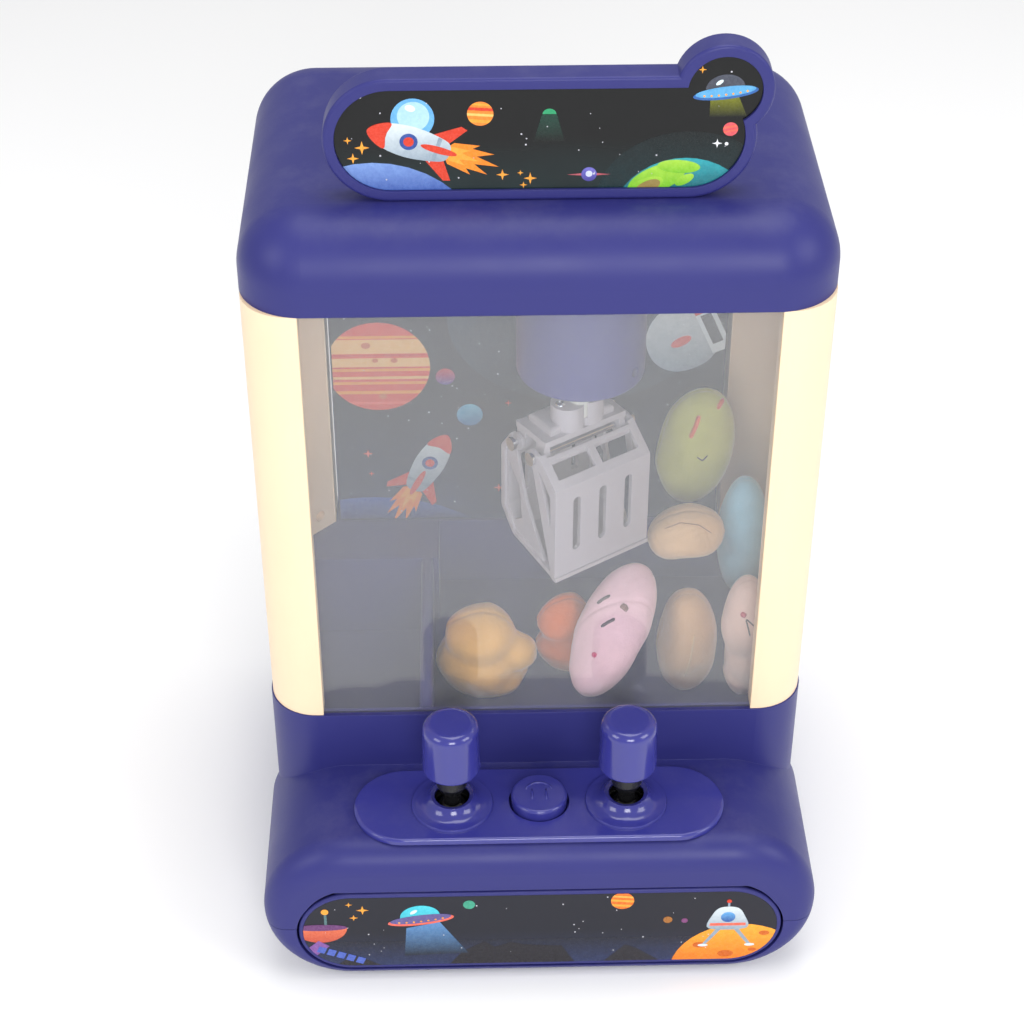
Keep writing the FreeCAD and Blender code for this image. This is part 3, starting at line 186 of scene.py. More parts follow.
class Graph:
    """Adds nodes to one tree and joins them."""

    def __init__(self, tree):
        self.tree = tree

    def add(self, kind, inputs=None, **settings):
        """A node with its settings; an input is a value or another node's output."""
        node = self.tree.nodes.new(kind)
        for key, value in settings.items():
            setattr(node, key, value)
        for key, value in (inputs or {}).items():
            self.feed(value, node.inputs[key])
        return node

    def feed(self, value, socket):
        """Give a socket a value or a link."""
        if isinstance(value, bpy.types.NodeSocket):
            self.tree.links.new(value, socket)
        else:
            socket.default_value = value

    def math(self, operation, a, b=0.0, clamp=False):
        """Result of one sum."""
        return self.add("ShaderNodeMath", {0: a, 1: b}, operation=operation, use_clamp=clamp).outputs[0]

    def mix(self, share, a, b, blend="MIX"):
        """Colour between two colours."""
        node = self.add("ShaderNodeMix", {0: share, 6: a, 7: b}, data_type="RGBA", blend_type=blend)
        return node.outputs[2]

    def span(self, value, low, high, to_low=0.0, to_high=1.0):
        """Value moved from one range to another, held at its ends."""
        node = self.add("ShaderNodeMapRange", {0: value, 1: low, 2: high, 3: to_low, 4: to_high})
        return node.outputs[0]

    def place(self):
        """Position in the object's own metres."""
        return self.add("ShaderNodeTexCoord").outputs["Object"]

    def noise(self, scale, detail=2.0, where=None, rough=0.5):
        """Soft noise of 0 to 1."""
        vector = self.place() if where is None else where
        node = self.add("ShaderNodeTexNoise", {"Vector": vector, "Scale": scale, "Detail": detail,
                                               "Roughness": rough})
        return node.outputs[0]


def start_group(name, inputs, outputs):
    """An empty node group; gives its graph, its inner inputs and its inner outputs."""
    tree = bpy.data.node_groups.new(name, "ShaderNodeTree")
    for label, kind, value in inputs:
        socket = tree.interface.new_socket(label, in_out="INPUT", socket_type="NodeSocket" + kind)
        socket.default_value = value
    for label, kind in outputs:
        tree.interface.new_socket(label, in_out="OUTPUT", socket_type="NodeSocket" + kind)
    graph = Graph(tree)
    first = graph.add("NodeGroupInput")
    last = graph.add("NodeGroupOutput")
    return graph, first.outputs, last.inputs


def moulded_grain_group():
    """Tone, gloss and fine grain of moulded plastic."""
    white = (1, 1, 1, 1)
    graph, given, out = start_group(
        "moulded_grain",
        [("Colour", "Color", white), ("Worn", "Color", white), ("Wear", "Float", 0.2),
         ("Grain", "Float", 1600.0), ("Gloss", "Float", 0.4)],
        [("Colour", "Color"), ("Roughness", "Float"), ("Height", "Float")])
    cloud = graph.noise(26.0, 4.0)
    fleck = graph.noise(given["Grain"], 2.0)
    share = graph.math("MULTIPLY", graph.span(cloud, 0.35, 0.7), given["Wear"], clamp=True)
    graph.feed(graph.mix(share, given["Colour"], given["Worn"]), out["Colour"])
    handled = graph.span(cloud, 0.3, 0.7, -0.05, 0.06)
    speckled = graph.span(fleck, 0.2, 0.8, -0.03, 0.03)
    graph.feed(graph.math("ADD", graph.math("ADD", given["Gloss"], handled), speckled, clamp=True),
               out["Roughness"])
    graph.feed(fleck, out["Height"])
    return graph.tree


def edge_group():
    """Rounded normals at hard edges, and a mask of those edges; the mask places a painted highlight."""
    graph, given, out = start_group("edge_normal_and_painted_highlight", [("Radius", "Float", 0.0004)],
                                    [("Normal", "Vector"), ("Mask", "Float")])
    bevel = graph.add("ShaderNodeBevel", {"Radius": given["Radius"]}, samples=4)
    flat = graph.add("ShaderNodeNewGeometry").outputs["Normal"]
    dot = graph.add("ShaderNodeVectorMath", {0: bevel.outputs[0], 1: flat}, operation="DOT_PRODUCT")
    graph.feed(bevel.outputs[0], out["Normal"])
    graph.feed(graph.span(dot.outputs["Value"], 0.995, 0.85), out["Mask"])
    return graph.tree


def dust_group():
    """Mask of fine dust on faces that look up."""
    graph, given, out = start_group("settled_dust", [("Amount", "Float", 0.1)], [("Mask", "Float")])
    normal = graph.add("ShaderNodeNewGeometry").outputs["Normal"]
    facing = graph.add("ShaderNodeSeparateXYZ", {0: normal}).outputs[2]
    patch = graph.span(graph.noise(60.0, 5.0, rough=0.7), 0.45, 0.75)
    mask = graph.math("MULTIPLY", graph.span(facing, 0.55, 1.0), patch)
    graph.feed(graph.math("MULTIPLY", mask, given["Amount"], clamp=True), out["Mask"])
    return graph.tree


def pile_group():
    """Tufts and brushed patches of short-pile cloth."""
    white = (1, 1, 1, 1)
    graph, given, out = start_group(
        "short_pile", [("Colour", "Color", white), ("Shade", "Color", white), ("Tuft", "Float", 1500.0)],
        [("Colour", "Color"), ("Roughness", "Float"), ("Height", "Float")])
    tuft = graph.noise(given["Tuft"], 3.0, rough=0.7)
    brushed = graph.noise(130.0, 3.0)
    fibre = graph.math("MULTIPLY", graph.span(tuft, 0.3, 0.7), 0.45)
    patch = graph.math("MULTIPLY", graph.span(brushed, 0.35, 0.7), 0.4)
    graph.feed(graph.mix(graph.math("ADD", fibre, patch, clamp=True), given["Colour"], given["Shade"]),
               out["Colour"])
    graph.feed(graph.span(brushed, 0.3, 0.7, 0.82, 0.98), out["Roughness"])
    graph.feed(tuft, out["Height"])
    return graph.tree


GROUPS = {}


def shared(graph, name, inputs):
    """One shared group placed in a material, with its values."""
    node = graph.add("ShaderNodeGroup", node_tree=GROUPS[name])
    for key, value in inputs.items():
        graph.feed(value, node.inputs[key])
    return node


def tinted(colour, factor):
    """A colour made lighter or darker."""
    return tuple(min(1.0, c * factor) for c in colour[:3]) + (1.0,)


def new_material(name, **values):
    """A material with its shader; plain values are set on the shader's own sockets."""
    material = bpy.data.materials.new(name)
    material.use_nodes = True
    graph = Graph(material.node_tree)
    shader = material.node_tree.nodes["Principled BSDF"]
    for key, value in values.items():
        shader.inputs[key.replace("_", " ")].default_value = value
    return material, graph, shader


# ---------------------------------------------------------------- finishes


def moulded(name, colour, gloss, bump=0.05, wear=0.25, dust=0.04, **values):
    """Moulded plastic with grain, softened edges, a painted highlight along its edges and a little dust."""
    case = bpy.context.scene.crane_case
    material, graph, shader = new_material(name, **values)
    grain = shared(graph, "moulded_grain", {
        "Colour": colour, "Worn": tinted(colour, 1.14), "Wear": wear, "Grain": 1.0 / case.grain_size,
        "Gloss": gloss})
    edge = shared(graph, "edge_normal_and_painted_highlight", {"Radius": case.edge_radius})
    settled = shared(graph, "settled_dust", {"Amount": dust})
    # painted highlight: the colour is lightened along hard edges, where light would catch the rounded rim
    painted_edge_highlight = graph.mix(graph.math("MULTIPLY", edge.outputs["Mask"], 0.3), grain.outputs["Colour"],
                      tinted(colour, 1.5))
    dusty = graph.mix(settled.outputs["Mask"], painted_edge_highlight, srgb(205, 203, 200))
    height = graph.add("ShaderNodeBump", {"Strength": bump, "Distance": 0.0002,
                                          "Height": grain.outputs["Height"],
                                          "Normal": edge.outputs["Normal"]})
    graph.feed(dusty, shader.inputs["Base Color"])
    graph.feed(grain.outputs["Roughness"], shader.inputs["Roughness"])
    graph.feed(height.outputs[0], shader.inputs["Normal"])
    return material


def turned_metal(name, colour, gloss, streak):
    """Ground or polished metal with fine streaks along its length."""
    material, graph, shader = new_material(name, Metallic=1.0)
    stretched = graph.add("ShaderNodeMapping", {"Vector": graph.place(), "Scale": streak}).outputs[0]
    line = graph.noise(1.0, 3.0, where=stretched)
    graph.feed(graph.mix(graph.span(line, 0.3, 0.7, 0.0, 0.5), colour, tinted(colour, 0.75)),
               shader.inputs["Base Color"])
    graph.feed(graph.span(line, 0.3, 0.7, gloss, gloss + 0.12), shader.inputs["Roughness"])
    height = graph.add("ShaderNodeBump", {"Strength": 0.08, "Distance": 0.0001, "Height": line})
    graph.feed(height.outputs[0], shader.inputs["Normal"])
    return material


def fleece(name, colour):
    """Short-pile plush cloth."""
    material, graph, shader = new_material(name, Sheen_Weight=0.55, Sheen_Roughness=0.45)
    pile = shared(graph, "short_pile", {"Colour": colour, "Shade": tinted(colour, 0.78), "Tuft": 1500.0})
    height = graph.add("ShaderNodeBump", {"Strength": 0.55, "Distance": 0.0004,
                                          "Height": pile.outputs["Height"]})
    graph.feed(pile.outputs["Colour"], shader.inputs["Base Color"])
    graph.feed(pile.outputs["Roughness"], shader.inputs["Roughness"])
    graph.feed(height.outputs[0], shader.inputs["Normal"])
    return material


def thread(name, colour):
    """Embroidery thread with a fine twist."""
    material, graph, shader = new_material(name, Sheen_Weight=0.3)
    twist = graph.noise(3200.0, 2.0)
    graph.feed(graph.mix(graph.span(twist, 0.3, 0.7), colour, tinted(colour, 0.6)),
               shader.inputs["Base Color"])
    graph.feed(graph.span(twist, 0.3, 0.7, 0.5, 0.75), shader.inputs["Roughness"])
    return material


def night_print(name, colour, glow, low, high):
    """Glossy dark print that turns to a second tone towards the bottom."""
    material, graph, shader = new_material(name, Coat_Weight=0.05, Specular_IOR_Level=0.25)
    place = graph.place()
    height = graph.add("ShaderNodeSeparateXYZ", {0: place}).outputs[2]
    cloud = graph.noise(38.0, 4.0)
    share = graph.math("MULTIPLY", graph.span(height, high, low), graph.span(cloud, 0.25, 0.7, 0.5, 1.0))
    graph.feed(graph.mix(share, colour, glow), shader.inputs["Base Color"])
    graph.feed(graph.span(graph.noise(300.0, 3.0), 0.3, 0.7, 0.16, 0.26), shader.inputs["Roughness"])
    wave = graph.add("ShaderNodeBump", {"Strength": 0.06, "Distance": 0.0004,
                                        "Height": graph.noise(170.0, 2.0)})
    graph.feed(wave.outputs[0], shader.inputs["Normal"])
    return material


def printed_ink(name):
    """Ink whose colour is painted on each printed shape."""
    material, graph, shader = new_material(name, Coat_Weight=0.05, Specular_IOR_Level=0.3)
    painted = graph.add("ShaderNodeAttribute", attribute_name="ink").outputs["Color"]
    brush = graph.span(graph.noise(420.0, 4.0), 0.3, 0.7, 0.0, 0.3)
    graph.feed(graph.mix(brush, painted, srgb(40, 40, 60), blend="SOFT_LIGHT"),
               shader.inputs["Base Color"])
    graph.feed(graph.span(graph.noise(900.0, 2.0), 0.3, 0.7, 0.2, 0.34), shader.inputs["Roughness"])
    return material


def clear_sheet(name):
    """Clear acrylic with a faint even haze; it lets light through to what is behind it."""
    material, graph, shader = new_material(name, IOR=1.45, Transmission_Weight=0.93)
    path = graph.add("ShaderNodeLightPath").outputs
    indirect = graph.math("MAXIMUM", path["Is Shadow Ray"], path["Is Diffuse Ray"])
    solid_share = graph.math("SUBTRACT", 1.0, graph.math("MULTIPLY", indirect, LIGHT_THROUGH))
    graph.feed(solid_share, shader.inputs["Alpha"])
    haze = graph.noise(14.0, 3.0)
    graph.feed(graph.span(haze, 0.3, 0.7, 0.0, 0.02), shader.inputs["Roughness"])
    graph.feed(graph.mix(haze, srgb(250, 251, 253), srgb(242, 245, 250)), shader.inputs["Base Color"])
    return material


def circuit(name):
    """Lacquered board with darker tracks."""
    material, graph, shader = new_material(name, Coat_Weight=0.4)
    track = graph.add("ShaderNodeTexVoronoi", {"Vector": graph.place(), "Scale": 420.0},
                      distance="CHEBYCHEV").outputs[0]
    graph.feed(graph.mix(graph.span(track, 0.35, 0.4), srgb(24, 92, 52), srgb(14, 58, 34)),
               shader.inputs["Base Color"])
    graph.feed(graph.span(track, 0.2, 0.5, 0.3, 0.45), shader.inputs["Roughness"])
    return material


def cell_sleeve(name):
    """Printed sleeve in two plain colours, split along the cell."""
    material, graph, shader = new_material(name, Coat_Weight=0.5)
    along = graph.add("ShaderNodeSeparateXYZ", {0: graph.place()}).outputs[0]
    split = graph.span(along, 0.012, 0.0125)
    graph.feed(graph.mix(split, srgb(40, 42, 46), srgb(196, 142, 60)), shader.inputs["Base Color"])
    graph.feed(graph.span(graph.noise(700.0), 0.3, 0.7, 0.22, 0.34), shader.inputs["Roughness"])
    return material


FLEECE_COLOURS = {
    "yellow": srgb(238, 178, 84), "orange": srgb(252, 122, 24), "pink": srgb(240, 196, 206),
    "brown": srgb(206, 162, 118), "tan": srgb(226, 184, 136), "peach": srgb(240, 202, 184),
    "blue": srgb(150, 206, 228), "green": srgb(198, 198, 92),
}


def make_finishes():
    """Every finish by the name of its material slot."""
    case = bpy.context.scene.crane_case
    GROUPS.update({
        "moulded_grain": moulded_grain_group(),
        "edge_normal_and_painted_highlight": edge_group(),
        "settled_dust": dust_group(),
        "short_pile": pile_group(),
    })
    finishes = {
        "case_blue": moulded("case_satin_plastic", case.case_colour, 0.42, Specular_IOR_Level=0.32),
        "gloss_blue": moulded("control_gloss_plastic", case.gloss_colour, 0.14, bump=0.015, wear=0.15,
                              dust=0.02, Coat_Weight=0.3, Coat_Roughness=0.05),
        "cream_wall": moulded("cream_post_plastic", case.wall_colour, 0.38, bump=0.03, wear=0.2),
        "clear_window": clear_sheet("window_acrylic"),
        "claw_grey": moulded("claw_satin_plastic", case.claw_colour, 0.42, bump=0.04),
        "gear_white": moulded("gear_nylon", srgb(214, 212, 204), 0.45, Subsurface_Weight=0.1),
        "steel": turned_metal("ground_steel", srgb(188, 190, 194), 0.26, (40.0, 1600.0, 1600.0)),
        "bright_pin": turned_metal("bright_pin_metal", srgb(228, 229, 232), 0.08, (200.0, 900.0, 900.0)),
        "black_part": moulded("black_plastic", srgb(22, 22, 24), 0.3, bump=0.03, dust=0.06),
        "foot_rubber": moulded("foot_rubber", srgb(30, 30, 32), 0.75, bump=0.15),
        "board": circuit("board_lacquer"),
        "cell_jacket": cell_sleeve("cell_sleeve"),
        "printed_panel": night_print("panel_print", srgb(16, 18, 26), srgb(24, 32, 52), 0.0, 0.3),
    }
    for name, colour in FLEECE_COLOURS.items():
        finishes["fleece_" + name] = fleece("fleece_" + name, colour)
    return finishes


FINISH = {}


def finish_of(slot):
    """A finish, made on first use."""
    if not FINISH:
        FINISH.update(make_finishes())
    return FINISH[slot]


def dress(obj, materials):
    """Give an object these materials and no others."""
    obj.data.materials.clear()
    for material in materials:
        obj.data.materials.append(material)


# ---------------------------------------------------------------- mesh helpers


def new_piece(name, mesh_or_bmesh, body, materials):
    """A finished piece that rides on a CAD body."""
    if isinstance(mesh_or_bmesh, bmesh.types.BMesh):
        mesh = bpy.data.meshes.new(name)
        bmesh.ops.recalc_face_normals(mesh_or_bmesh, faces=mesh_or_bmesh.faces)
        mesh_or_bmesh.to_mesh(mesh)
        mesh_or_bmesh.free()
    else:
        mesh = mesh_or_bmesh
    piece = bpy.data.objects.new(name, mesh)
    bpy.context.scene.collection.objects.link(piece)
    dress(piece, materials)
    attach(piece, body)
    return piece


def baked_mesh(obj):
    """The object's mesh with its modifiers applied."""
    bpy.context.view_layer.update()
    graph = bpy.context.evaluated_depsgraph_get()
    return bpy.data.meshes.new_from_object(obj.evaluated_get(graph))


def settle(obj):
    """Apply all modifiers of an object."""
    mesh = baked_mesh(obj)
    obj.modifiers.clear()
    obj.data = mesh


def lathe(target, profile, place, axis, steps=40):
    """Turn a profile of (radius, height) round an axis; it starts and ends on the axis."""
    turn = UP.rotation_difference(axis).to_matrix().to_4x4()
    to_world = Matrix.Translation(place) @ turn
    rings = []
    for radius, height in profile:
        if radius == 0:
            rings.append([target.verts.new(to_world @ Vector((0, 0, height)))])
            continue
        ring = []
        for k in range(steps):
            angle = 2 * math.pi * k / steps
            point = Vector((radius * math.cos(angle), radius * math.sin(angle), height))
            ring.append(target.verts.new(to_world @ point))
        rings.append(ring)
    for low, high in zip(rings, rings[1:]):
        for k in range(steps):
            a, b = low[k % len(low)], low[(k + 1) % len(low)]
            c, d = high[(k + 1) % len(high)], high[k % len(high)]
            corners = list(dict.fromkeys((a, b, c, d)))
            face = target.faces.new(corners)
            face.smooth = True


def tube(target, points, radius, material_index=0, sides=8):
    """Closed round tube along points."""
    rings = []
    for k, point in enumerate(points):
        ahead = points[min(k + 1, len(points) - 1)] - points[max(k - 1, 0)]
        across = ahead.cross(UP if abs(ahead.normalized().z) < 0.9 else FRONT).normalized()
        over = ahead.cross(across).normalized()
        taper = 0.6 if k in (0, len(points) - 1) else 1.0
        ring = []
        for s in range(sides):
            angle = 2 * math.pi * s / sides
            offset = across * math.cos(angle) + over * math.sin(angle)
            ring.append(target.verts.new(point + offset * radius * taper))
        rings.append(ring)
    faces = [target.faces.new(rings[0][::-1]), target.faces.new(rings[-1])]
    for low, high in zip(rings, rings[1:]):
        for s in range(sides):
            t = (s + 1) % sides
            faces.append(target.faces.new((low[s], low[t], high[t], high[s])))
    for face in faces:
        face.smooth = True
        face.material_index = material_index


# ---------------------------------------------------------------- printed shapes, millimetres


def ellipse(x, z, wide, high=None, turn=0.0, start=0.0, end=360.0, steps=40):
    """Points of an ellipse or of a part of one."""
    high = wide if high is None else high
    tilt = math.radians(turn)
    points = []
    for k in range(steps):
        angle = math.radians(start + (end - start) * k / (steps if end - start == 360.0 else steps - 1))
        u, v = wide * math.cos(angle), high * math.sin(angle)
        points.append((x + u * math.cos(tilt) - v * math.sin(tilt),
                       z + u * math.sin(tilt) + v * math.cos(tilt)))
    return points


def star(x, z, size):
    """Four-pointed star with hollow sides."""
    points = []
    for k in range(8):
        reach = size if k % 2 == 0 else size * 0.3
        angle = math.radians(45 * k)
        points.append((x + reach * math.cos(angle), z + reach * math.sin(angle)))
    return points


def rounded(corners, steps=5):
    """Smooth closed outline through its corners."""
    count = len(corners)
    points = []
    for k in range(count):
        a, b, c, d = (Vector(corners[(k + i) % count]) for i in (-1, 0, 1, 2))
        for s in range(steps):
            t = s / steps
            p = 0.5 * (2 * b + (c - a) * t + (2 * a - 5 * b + 4 * c - d) * t ** 2
                       + (3 * b - 3 * c + d - a) * t ** 3)
            points.append(tuple(p))
    return points


def turned(points, x, z, degrees):
    """Points drawn about the origin, turned and moved to a place."""
    tilt = math.radians(degrees)
    return [(x + u * math.cos(tilt) - v * math.sin(tilt), z + u * math.sin(tilt) + v * math.cos(tilt))
            for u, v in points]


def stadium(x, z, half, radius, steps=24):
    """Outline of a pill lying along X."""
    right = ellipse(x + half - radius, z, radius, start=-90, end=90, steps=steps)
    left = ellipse(x - half + radius, z, radius, start=90, end=270, steps=steps)
    return right + left


def clipped(points, border):
    """The part of an outline inside a convex border that runs anticlockwise."""
    kept = list(points)
    for k, a in enumerate(border):
        b = border[(k + 1) % len(border)]
        edge = (b[0] - a[0], b[1] - a[1])

        def inside(p):
            return edge[0] * (p[1] - a[1]) - edge[1] * (p[0] - a[0])

        result = []
        for i, p in enumerate(kept):
            before = kept[i - 1]
            here, there = inside(p), inside(before)
            if (here >= 0) != (there >= 0):
                share = there / (there - here)
                result.append(tuple(before[n] + (p[n] - before[n]) * share for n in (0, 1)))
            if here >= 0:
                result.append(p)
        kept = result
        if not kept:
            break
    return kept


class Print:
    """Printed shapes on an upright panel; every shape lies a little in front of the one before."""

    def __init__(self, face_y, border, origin_z=0.0):
        self.mesh = bmesh.new()
        self.ink = self.mesh.loops.layers.float_color.new("ink")
        self.face_y = face_y
        self.border = border
        self.origin_z = origin_z
        self.step = bpy.context.scene.crane_print.ink_step
        self.count = 0

    def shape(self, layer, points, colour, top=None, within=None):
        """One closed shape; with a top colour it fades upwards."""
        points = clipped(points, within) if within else points
        points = clipped(points, self.border)
        cleaned = [p for k, p in enumerate(points) if math.dist(p, points[k - 1]) > 0.01]
        if len(cleaned) < 3:
            return
        lows = min(p[1] for p in cleaned)
        rise = max(p[1] for p in cleaned) - lows
        self.count += 1
        front_y = self.face_y - self.step * (layer + 0.06 * self.count)
        rings = []
        for y in (front_y, self.face_y):
            rings.append([self.mesh.verts.new((x * MM, y, self.origin_z + z * MM)) for x, z in cleaned])
        front, back = rings
        faces = [self.mesh.faces.new(front), self.mesh.faces.new(back[::-1])]
        for k in range(len(cleaned)):
            faces.append(self.mesh.faces.new((front[k - 1], back[k - 1], back[k], front[k])))
        for face in faces:
            for loop in face.loops:
                height = (loop.vert.co.z - self.origin_z) / MM
                share = (height - lows) / rise if rise else 0.0
                upper = top or colour
                loop[self.ink] = [a + (b - a) * share for a, b in zip(colour, upper)]

    def banded(self, layer, x, z, radius, colour, bands, turn=0.0):
        """Round planet with stripes: each band is (from, to, colour) in radii."""
        disc = ellipse(x, z, radius)
        self.shape(layer, disc, colour)
        for low, high, stripe in bands:
            strip = turned([(-radius, low * radius), (radius, low * radius), (radius, high * radius),
                            (-radius, high * radius)], x, z, turn)
            self.shape(layer + 1, strip, stripe, within=disc)

    def specks(self, layer, count, width, low, high, seed):
        """Fine stars scattered over the panel."""
        chance = random.Random(seed)
        for _ in range(count):
            x = chance.uniform(-width, width)
            z = chance.uniform(low, high)
            size = chance.uniform(0.12, 0.32)
            self.shape(layer, ellipse(x, z, size, steps=8), srgb(206, 206, 214))

    def piece(self, name, body):
        """The finished print."""
        bmesh.ops.triangulate(self.mesh, faces=[f for f in self.mesh.faces if len(f.verts) > 4])
        return new_piece(name, self.mesh, body, [ink_material()])


def ink_material():
    """The one ink that all prints share."""
    return bpy.data.materials.get("printed_ink") or printed_ink("printed_ink")


GOLD = srgb(242, 168, 62)
RED = srgb(214, 66, 42)
CORAL = srgb(240, 112, 92)
ORANGE = srgb(240, 142, 40)
PALE = srgb(218, 228, 232)
SHADOW = srgb(150, 166, 180)
SKY = srgb(108, 176, 226)
DEEP = srgb(52, 84, 156)


def draw_rocket(art, layer, x, z, turn, size, dome):
    """Simple rocket along its own +u; dome is the side of its cockpit (1 or -1), or 0 for none."""

    def at(points):
        return turned([(u * size, v * size) for u, v in points], x, z, turn)

    for reach, tilt in ((17, 0), (15, 13), (15, -13), (11, 26), (11, -26)):
        tongue = [(0, 0), (reach * 0.35, 2.0), (reach, 0), (reach * 0.35, -2.0)]
        art.shape(layer, at(turned(tongue, -10, 0, 180 + tilt)), ORANGE)
    for reach, tilt in ((11, 0), (8, 18), (8, -18)):
        tongue = [(0, 0), (reach * 0.4, 1.3), (reach, 0), (reach * 0.4, -1.3)]
        art.shape(layer + 1, at(turned(tongue, -10, 0, 180 + tilt)), GOLD)
    for fin in ([(-5, 3.5), (-13, 9), (-15, 8.4), (-11, 2.5)], [(-5, -3.5), (-13, -9), (-15, -8.4),
                                                                (-11, -2.5)]):
        art.shape(layer, at(fin), RED)
    if dome:
        art.shape(layer, at(ellipse(1.0, dome * 7.2, 6.2, 6.4)), SKY)
        art.shape(layer + 1, at(ellipse(1.0, dome * 8.0, 4.6, 4.6)), srgb(176, 214, 238))
        art.shape(layer + 2, at(ellipse(2.6, dome * 10.2, 1.5, 1.0)), srgb(232, 244, 250))
    body = at(rounded([(12, 0), (8, 3.6), (0, 5), (-9, 3.8), (-12, 2), (-12, -2), (-9, -3.8), (0, -5),
                       (8, -3.6)]))
    art.shape(layer + 3, body, SHADOW, top=PALE)
    art.shape(layer + 4, at(rounded([(12.4, 0), (10, 2.8), (6.2, 4.1), (6.8, 0), (6.2, -4.1),
                                     (10, -2.8)])), RED)
    art.shape(layer + 4, at(ellipse(0, 0, 2.6)), DEEP)
    art.shape(layer + 5, at(ellipse(0, 0, 1.5)), RED)
    art.shape(layer + 4, at([(-9, -3.7), (-7.8, -3.9), (-7.8, 3.9), (-9, 3.7)]), SHADOW)
    art.shape(layer + 5, at(ellipse(-9, 0, 5.4, 1.1)), RED)


def draw_saucer(art, layer, x, z, wide, turn, dome, hull, stripe):
    """Flying saucer with a plain dome, a striped rim and small lamps."""

    def at(points):
        return turned(points, x, z, turn)

    art.shape(layer, at(ellipse(0, wide * 0.16, wide * 0.6, wide * 0.46, start=0, end=180)), dome,
              top=tinted(dome, 1.25))
    art.shape(layer + 1, at(ellipse(-wide * 0.16, wide * 0.38, wide * 0.13, wide * 0.06, turn=30)),
              srgb(220, 240, 244))
    art.shape(layer + 1, at(ellipse(0, 0, wide, wide * 0.2)), stripe)
    art.shape(layer + 2, at(ellipse(0, wide * 0.05, wide * 0.93, wide * 0.17)), hull)
    for k in range(-3, 4):
        lamp_z = wide * (0.02 - 0.12 * math.sqrt(1 - (k / 4) ** 2)) + wide * 0.05
        art.shape(layer + 3, at(ellipse(k * wide * 0.22, lamp_z, wide * 0.035, steps=10)), GOLD)


def draw_stars(art, layer, places, colour):
    """Several four-pointed stars, each (x, z, size)."""
    for x, z, size in places:
        art.shape(layer, star(x, z, size), colour)


# ---------------------------------------------------------------- operators


class CRANE_OT_finish_parts(bpy.types.Operator):
    """Give every CAD part the finish of its material slot"""

    bl_idname = "crane.finish_parts"
    bl_label = "Finish the moulded and metal parts"

    def execute(self, context):
        slots = {part["node"]: part["material_slot"] for part in frame["record"]["subparts"]}
        for node, obj in frame["nodes"].items():
            dress(obj, [finish_of(slots[node])])
        panels = {
            "sign_face": night_print("sign_print", srgb(16, 17, 18), srgb(24, 44, 46), 0.298, 0.318),
            "flap_label": night_print("flap_print", srgb(34, 35, 44), srgb(42, 50, 80), 0.004, 0.026),
            "backdrop_card": night_print("backdrop_print", srgb(20, 24, 38), srgb(34, 52, 96), 0.09, 0.15),
        }
        for node, material in panels.items():
            dress(frame["nodes"][node], [material])
        return {"FINISHED"}


